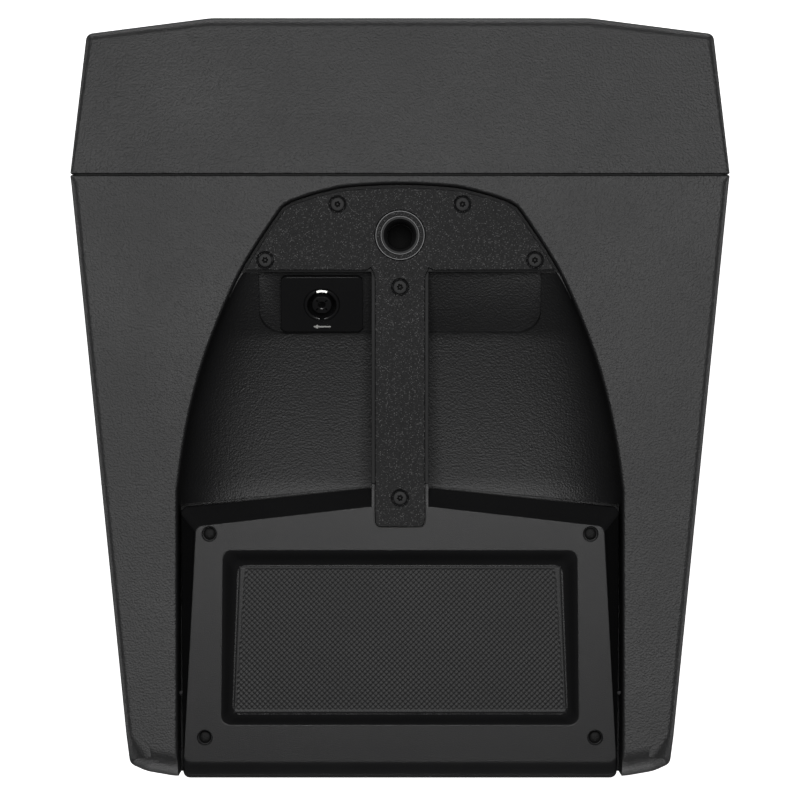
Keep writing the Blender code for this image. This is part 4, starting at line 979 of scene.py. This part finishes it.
def make_cover():
    face = HEIGHT - COVER_FACE_DROP
    base = HEIGHT - COVER_BAY_DEPTH + 0.4
    rings = [
        cover_ring(0.0, 0.0, base),
        cover_ring(0.0, 0.0, face - 15.0),
        cover_ring(0.0, 0.03, face - 14.0),
        cover_ring(0.3, 0.12, face - 12.6),
        cover_ring(1.4, 0.5, face - 7.4),
        cover_ring(3.0, 0.86, face - 2.8),
        cover_ring(4.8, 0.94, face - 1.6),
        cover_ring(7.0, 1.0, face - 0.7),
        cover_ring(9.4, 1.05, face - 0.2),
        cover_ring(12.0, 1.1, face),
    ]
    cover = drawn("tray_cover", loft(rings))
    levels = [
        (0.0, 0.0, 0.972, 0.955, base - 5.0),
        (0.0, 0.0, 0.972, 0.955, face - 40.0),
        (6.0, 0.8, 0.965, 0.94, face - 14.0),
        (9.0, 1.0, 0.965, 0.93, face - TRAY_DEPTH - 4.0),
    ]
    cut(cover, loft([hollow_ring(*level) for level in levels]))
    for side in (-1.0, 1.0):
        x0, x1 = sorted(side * x for x in COVER_FLANGE_X)
        flange = block(x0, x1, 238.0, REAR_Y - 1.2, base, base + 9.0)
        combine(cover, drawn("flange", flange), "UNION")
        x0, x1 = sorted(side * x for x in COVER_TAB_X)
        tab = block(x0, x1, *COVER_TAB_Y, face - 24.0, face - 16.0)
        combine(cover, drawn("tab", tab), "UNION")
    top = HEIGHT - PLATE_SINK - PLATE_T - 0.25
    lap = drawn("lap", block(-19.0, 19.0, 52.0, 80.0, face - 20.0, face - 0.05))
    cut(lap, block(-30.0, 30.0, 40.0, GRIP_END_Y + 0.4, face - 60.0, HEIGHT))
    combine(cover, lap, "UNION")
    slot = rounded(STEM_HALF_X + 0.5, 40.0, 4.3, 8, 0.0, STEM_END_Y + 0.5 - 40.0)
    cut(cover, prism(slot, top, HEIGHT + 5.0))
    wall = [(-0.16, 2.0), (-0.16, 0.01), (-0.08, -0.1), (0.02, -0.4), (0.14, -1.1)]
    wall += [(0.28, -2.3), (0.52, -4.8), (0.66, -6.1), (0.8, -7.0), (0.92, -7.6), (1.02, -TRAY_DEPTH)]
    cut(cover, loft([tray_ring(share, face + lift, 6.0) for share, lift in wall]))
    for x, y in COVER_SCREWS:
        seat = face - 6.0
        stem = [(0.0, face - 40.0), (2.6, face - 40.0), (2.6, seat), (4.65, seat), (4.65, face - 0.5)]
        stem += [(5.2, face), (5.2, face + 2.0), (0.0, face + 2.0)]
        cut(cover, placed(lathe(stem, 48), at(x, y, 0.0)))
    cut(cover, placed(bore(2.9, face - 40.0, face + 4.0, 24), at(*PLATE_SCREWS[5], 0.0)))
    merged(cover)
    return show(cover, SATIN, ["top_cover"])


def make_mat():
    """Moulded mat: a smooth rim round a field of staggered round pimples."""
    low = HEIGHT - COVER_FACE_DROP - TRAY_DEPTH + 0.05
    base = low + 0.9
    x_front = TRAY_FRONT_X - 9.9
    x_rear = TRAY_REAR_X - 7.3
    y_front = TRAY_FRONT_Y + 9.9
    y_rear = TRAY_REAR_Y - 6.7
    step = 0.6
    wave = 2.0 * math.pi / MAT_BUMP_PITCH
    columns = int(2 * x_rear / step)
    rows = int((y_rear - y_front) / step)
    bm = bmesh.new()
    grid = []
    for j in range(rows + 1):
        y = y_front + (y_rear - y_front) * j / rows
        t = j / rows
        half = x_front + (x_rear - x_front) * t
        field = 103.3 + (109.9 - 103.3) * t
        row = []
        for i in range(columns + 1):
            x = -half + 2 * half * i / columns
            inside = min(field - abs(x), y - (y_front + 1.4), (y_rear - 1.8) - y)
            crest = 0.5 + 0.5 * math.cos(wave * x) * math.cos(wave * (y - y_front - 1.2))
            edge = min(half - abs(x), y - y_front, y_rear - y)
            rise = MAT_BUMP_H * crest**2.6 if inside > 0.0 else 0.30 * min(max(edge, 0.0) / 0.9, 1.0)
            row.append(bm.verts.new((x, y, base + rise)))
        grid.append(row)
    for lower, upper in zip(grid, grid[1:]):
        for i in range(columns):
            bm.faces.new((lower[i], lower[i + 1], upper[i + 1], upper[i]))
    around = grid[0] + [row[-1] for row in grid[1:]] + list(reversed(grid[-1][:-1]))
    around += [row[0] for row in reversed(grid[1:-1])]
    bottom = [bm.verts.new((v.co.x, v.co.y, low)) for v in around]
    count = len(around)
    for i in range(count):
        j = (i + 1) % count
        bm.faces.new((around[j], around[i], bottom[i], bottom[j]))
    bm.faces.new(list(reversed(bottom)))
    mat = drawn("tray_mat", bm)
    return show(mat, MAT, ["cover_mat"], crease=70.0)


def make_cover_screws():
    head = HEIGHT - COVER_FACE_DROP - 6.0 + 0.05
    for index, (x, y) in enumerate(COVER_SCREWS):
        profile = [(0.0, head + 1.9), (2.6, head + 1.8), (3.6, head + 1.4), (4.1, head + 0.7), (4.2, head)]
        profile += [(2.2, head), (2.2, head - 26.0), (0.0, head - 26.0)]
        screw = drawn(f"pan_screw_{index + 1}", placed(lathe(profile, 48), at(x, y, 0.0)))
        turn = Matrix.Rotation(math.radians(31.0 * index), 4, "Z")
        for quarter in (0.0, 90.0):
            arm = Matrix.Rotation(math.radians(quarter), 4, "Z")
            slot = block(-2.2, 2.2, -0.45, 0.45, head + 0.5, head + 4.0)
            cut(screw, placed(slot, at(x, y, 0.0) @ turn @ arm))
        show(screw, BLACK_STEEL, [f"cover_screw_{index + 1}"])


# ---------------------------------------------------------------- output plate


def make_output():
    place = on_pad(OUT_X, OUT_ALONG, 0.0)
    plate = drawn("socket_plate", prism(rounded(OUT_W / 2, OUT_L / 2, 4.0, 10), -3.1, -1.45 + OUT_T))
    soften(plate, 0.6, 3, lambda e: sharp(e, 60.0) and all(v.co.z > 0.1 for v in e.verts))
    plate.data.transform(Matrix.Scale(MM, 4) @ place @ Matrix.Scale(1 / MM, 4))
    cut(plate, placed(bore(SOCKET_RING_R + 0.2, -20.0, 20.0), place))
    show(plate, SATIN, ["output_plate"])

    ring = SOCKET_RING_R
    profile = [
        (0.0, -30.0),
        (ring + 3.0, -30.0),
        (ring + 3.0, -2.2),
        (ring, -2.2),
        (ring, 0.7),
        (ring - 0.3, 1.2),
        (ring - 0.8, 1.5),
        (SOCKET_SLOT_R + 0.6, 1.5),
        (SOCKET_SLOT_R + 0.1, 1.2),
        (SOCKET_SLOT_R, 0.8),
        (SOCKET_SLOT_R, -18.0),
        (SOCKET_CORE_R, -18.0),
        (SOCKET_CORE_R, 0.2),
        (SOCKET_CORE_R - 0.3, 0.7),
        (SOCKET_CORE_R - 0.8, 0.9),
        (2.9, 0.9),
        (2.4, 0.6),
        (2.4, -9.0),
        (0.0, -9.0),
    ]
    socket = drawn("twist_socket", placed(lathe(profile, 96), place))
    for near, far, half in ((-11.6, -8.0, 4.2), (-9.0, -6.0, 2.4), (6.0, 10.6, 1.6)):
        cut(socket, placed(block(-half, half, near, far, -9.0, 4.0), place))
    for turn in range(4):
        arm = Matrix.Rotation(math.radians(45.0 + 90.0 * turn), 4, "Z")
        cut(socket, placed(block(-0.5, 0.5, 3.4, 5.2, -6.0, 4.0), place @ arm))
    show(socket, CONNECTOR, ["output_socket"])

    steps = 10
    inner = []
    outer = []
    for i in range(steps + 1):
        a = math.radians(-90.0 - 19.0 + 38.0 * i / steps)
        inner.append((10.2 * math.cos(a), 10.2 * math.sin(a)))
        outer.append((11.3 * math.cos(a), 11.3 * math.sin(a)))
    rows = []
    for lift_in, lift_out in ((-8.6, -8.6), (1.9, 1.2)):
        rows.append([(x, y, lift_out) for x, y in outer] + [(x, y, lift_in) for x, y in reversed(inner)])
    latch = drawn("twist_latch", placed(loft(rows), place))
    show(latch, ZINC, ["output_latch"])

    mark = [(-6.0, -0.5), (2.6, -0.5), (2.6, -1.5), (6.0, 0.0), (2.6, 1.5), (2.6, 0.5), (-6.0, 0.5)]
    arrow = drawn("output_mark", placed(prism(mark, 0.1, 0.24), place @ at(0.0, 16.4, 0.0)))
    show(arrow, INK)


# ---------------------------------------------------------------- rear panel details


def make_panel_details():
    x0, x1, z0, z1 = AMP_BAY
    spots = []
    for z in (z0 - 1.0, z0 + 128.0, (z0 + z1) / 2, z1 - 128.0, z1 + 1.0):
        spots += [(x0 - 0.5, z), (x1 + 0.5, z)]
    for index, (x, z) in enumerate(spots):
        profile = [(0.0, 1.9), (1.4, 1.85), (2.5, 1.3), (3.1, 0.5), (3.2, 0.05), (0.0, 0.05)]
        screw = drawn(f"panel_screw_{index + 1}", placed(lathe(profile, 32), facing_rear(x, PANEL_FACE_Y, z)))
        turn = Matrix.Rotation(math.radians(29.0 * index), 4, "Z")
        for quarter in (0.0, 90.0):
            arm = Matrix.Rotation(math.radians(quarter), 4, "Z")
            slot = block(-1.6, 1.6, -0.3, 0.3, 0.9, 4.0)
            cut(screw, placed(slot, facing_rear(x, PANEL_FACE_Y, z) @ turn @ arm))
        show(screw, DARK_STEEL)
    x, z = KNOB_AT
    ticks = bmesh.new()
    for i in range(SCALE_MARKS):
        angle = math.radians(-KNOB_SWEEP + 2.0 * KNOB_SWEEP * i / (SCALE_MARKS - 1))
        arm = Matrix.Rotation(angle, 4, "Z")
        long = 2.6 if i % 5 == 0 else 1.6
        mark = block(-0.25, 0.25, 10.8, 10.8 + long, 0.0, 0.12)
        tick = placed(mark, facing_rear(x, PANEL_FACE_Y + 0.02, z) @ arm)
        mesh = bpy.data.meshes.new("tick")
        tick.to_mesh(mesh)
        ticks.from_mesh(mesh)
        bpy.data.meshes.remove(mesh)
        tick.free()
    scale_marks = drawn("knob_scale", ticks)
    show(scale_marks, INK)

    body = []
    steps = 144
    for i in range(steps):
        a = 2.0 * math.pi * i / steps
        ridge = 0.28 if (i // 3) % 2 else 0.0
        body.append((a, ridge))
    levels = [(8.8, 0.8, 0.0), (8.8, 2.6, 1.0), (8.3, 11.0, 1.0), (8.0, 12.4, 0.5), (7.4, 13.2, 0.0)]
    rings = []
    for radius, height, depth in levels:
        ring = []
        for a, ridge in body:
            reach = radius - ridge * depth
            ring.append((reach * math.cos(a), reach * math.sin(a), height))
        rings.append(ring)
    knob = drawn("ribbed_knob", placed(loft(rings), facing_rear(x, PANEL_FACE_Y, z)))
    cut(knob, placed(bore(4.6, -2.0, 2.2, 32), facing_rear(x, PANEL_FACE_Y, z)))
    cut(knob, placed(bore(3.2, -2.0, 9.4, 32), facing_rear(x, PANEL_FACE_Y, z)))
    cut(knob, block(x - 0.6, x + 0.6, PANEL_FACE_Y + 12.4, PANEL_FACE_Y + 16.0, z + 2.0, z + 12.0))
    show(knob, KNOB, ["level_knob"], "level_knob_body")
    pointer = block(x - 0.4, x + 0.4, PANEL_FACE_Y + 12.3, PANEL_FACE_Y + 12.85, z + 2.2, z + 7.0)
    show(drawn("knob_pointer", pointer), INK, (), "level_knob_body")


# ---------------------------------------------------------------- CAD nodes that stay


KEPT = {
    "shell_gasket": RUBBER,
    "grille_foam": FOAM,
    "handle_grip": GRIP,
    "woofer_basket": BASKET,
    "woofer_surround": RUBBER,
    "woofer_cone": PAPER,
    "dust_cap": PAPER,
    "voice_coil": COPPER,
    "spider": CLOTH,
    "top_plate": ZINC,
    "magnet": FERRITE,
    "back_plate": ZINC,
    "port_tube_left": PORT,
    "port_tube_right": PORT,
    "amp_panel": PANEL,
    "heatsink": ALLOY,
    "input_socket": CONNECTOR,
    "input_release": BRIGHT_STEEL,
    "link_socket": CONNECTOR,
    "level_pot": ZINC,
    "boost_button": KNOB,
    "voice_button": KNOB,
    "status_light_1": GREEN,
    "status_light_2": RED,
    "power_inlet": CONNECTOR,
    "fuse_drawer": CONNECTOR,
    "power_switch_frame": CONNECTOR,
    "power_rocker": CONNECTOR,
    "amp_board": BOARD,
    "transformer": COPPER,
    "capacitor_1": SLEEVE,
    "capacitor_2": SLEEVE,
    "foot_1": RUBBER,
    "foot_2": RUBBER,
    "foot_3": RUBBER,
    "foot_4": RUBBER,
}


def paint_kept_nodes():
    for name, finish in KEPT.items():
        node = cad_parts[name]
        node.data.materials.clear()
        node.data.materials.append(finish)


# ---------------------------------------------------------------- floor, light, camera


def make_stage():
    bm = bmesh.new()
    corners = [(-1.0, -1.0), (1.0, -1.0), (1.0, 1.0), (-1.0, 1.0)]
    bm.faces.new([bm.verts.new((STAGE_HALF * x, STAGE_HALF * y, 0.0)) for x, y in corners])
    mesh = bpy.data.meshes.new("floor")
    bm.to_mesh(mesh)
    bm.free()
    floor = bpy.data.objects.new("floor", mesh)
    bpy.context.scene.collection.objects.link(floor)
    pale = bpy.data.materials.new("pale_floor")
    pale.use_nodes = True
    shader = pale.node_tree.nodes["Principled BSDF"]
    shader.inputs["Base Color"].default_value = (0.9, 0.9, 0.9, 1.0)
    shader.inputs["Roughness"].default_value = 0.9
    shader.inputs["Specular IOR Level"].default_value = 0.0
    shader.inputs["Emission Color"].default_value = (1.0, 1.0, 1.0, 1.0)
    shader.inputs["Emission Strength"].default_value = 1.0
    mesh.materials.append(pale)
    floor.visible_glossy = False


def make_light(name, where, aim, size, power):
    data = bpy.data.lights.new(name, "AREA")
    data.shape = "RECTANGLE"
    data.size, data.size_y = size
    data.energy = power
    lamp = bpy.data.objects.new(name, data)
    lamp.visible_camera = False
    bpy.context.scene.collection.objects.link(lamp)
    lamp.location = where
    lamp.rotation_euler = (Vector(aim) - Vector(where)).to_track_quat("-Z", "Y").to_euler()


def make_studio():
    world = bpy.data.worlds.new("studio")
    bpy.context.scene.world = world
    world.use_nodes = True
    world.node_tree.nodes["Background"].inputs["Color"].default_value = (1.0, 1.0, 1.0, 1.0)
    world.node_tree.nodes["Background"].inputs["Strength"].default_value = 0.03
    make_light("overhead", (0.0, -0.45, 4.3), (0.0, 0.0, 0.6), (1.5, 1.3), 82.0)
    make_light("front_fill", (0.0, -2.6, 0.32), (0.0, 0.0, 0.3), (2.2, 0.5), 32.0)
    make_light("rear_fill", (0.0, 2.6, 0.32), (0.0, 0.0, 0.3), (2.2, 0.5), 32.0)
    make_light("left_fill", (2.6, 0.0, 0.32), (0.0, 0.0, 0.3), (2.2, 0.5), 24.0)
    make_light("right_fill", (-2.6, 0.0, 0.32), (0.0, 0.0, 0.3), (2.2, 0.5), 24.0)
    bpy.context.scene.view_settings.view_transform = "Standard"

    data = bpy.data.cameras.new("camera")
    data.sensor_width = 36.0
    data.lens = 36.0 * CAMERA_LIFT / VIEW_WIDTH
    data.clip_end = 50.0
    camera = bpy.data.objects.new("camera", data)
    bpy.context.scene.collection.objects.link(camera)
    camera.location = (0.0, 0.0013, HEIGHT * MM + CAMERA_LIFT)
    camera.rotation_euler = (0.0, 0.0, math.pi)
    bpy.context.scene.camera = camera


make_rear_shell()
make_front_shell()
make_grille()
make_plate()
make_plate_screws()
make_pole_socket()
make_cover()
make_mat()
make_cover_screws()
make_output()
make_panel_details()
paint_kept_nodes()
make_stage()
make_studio()
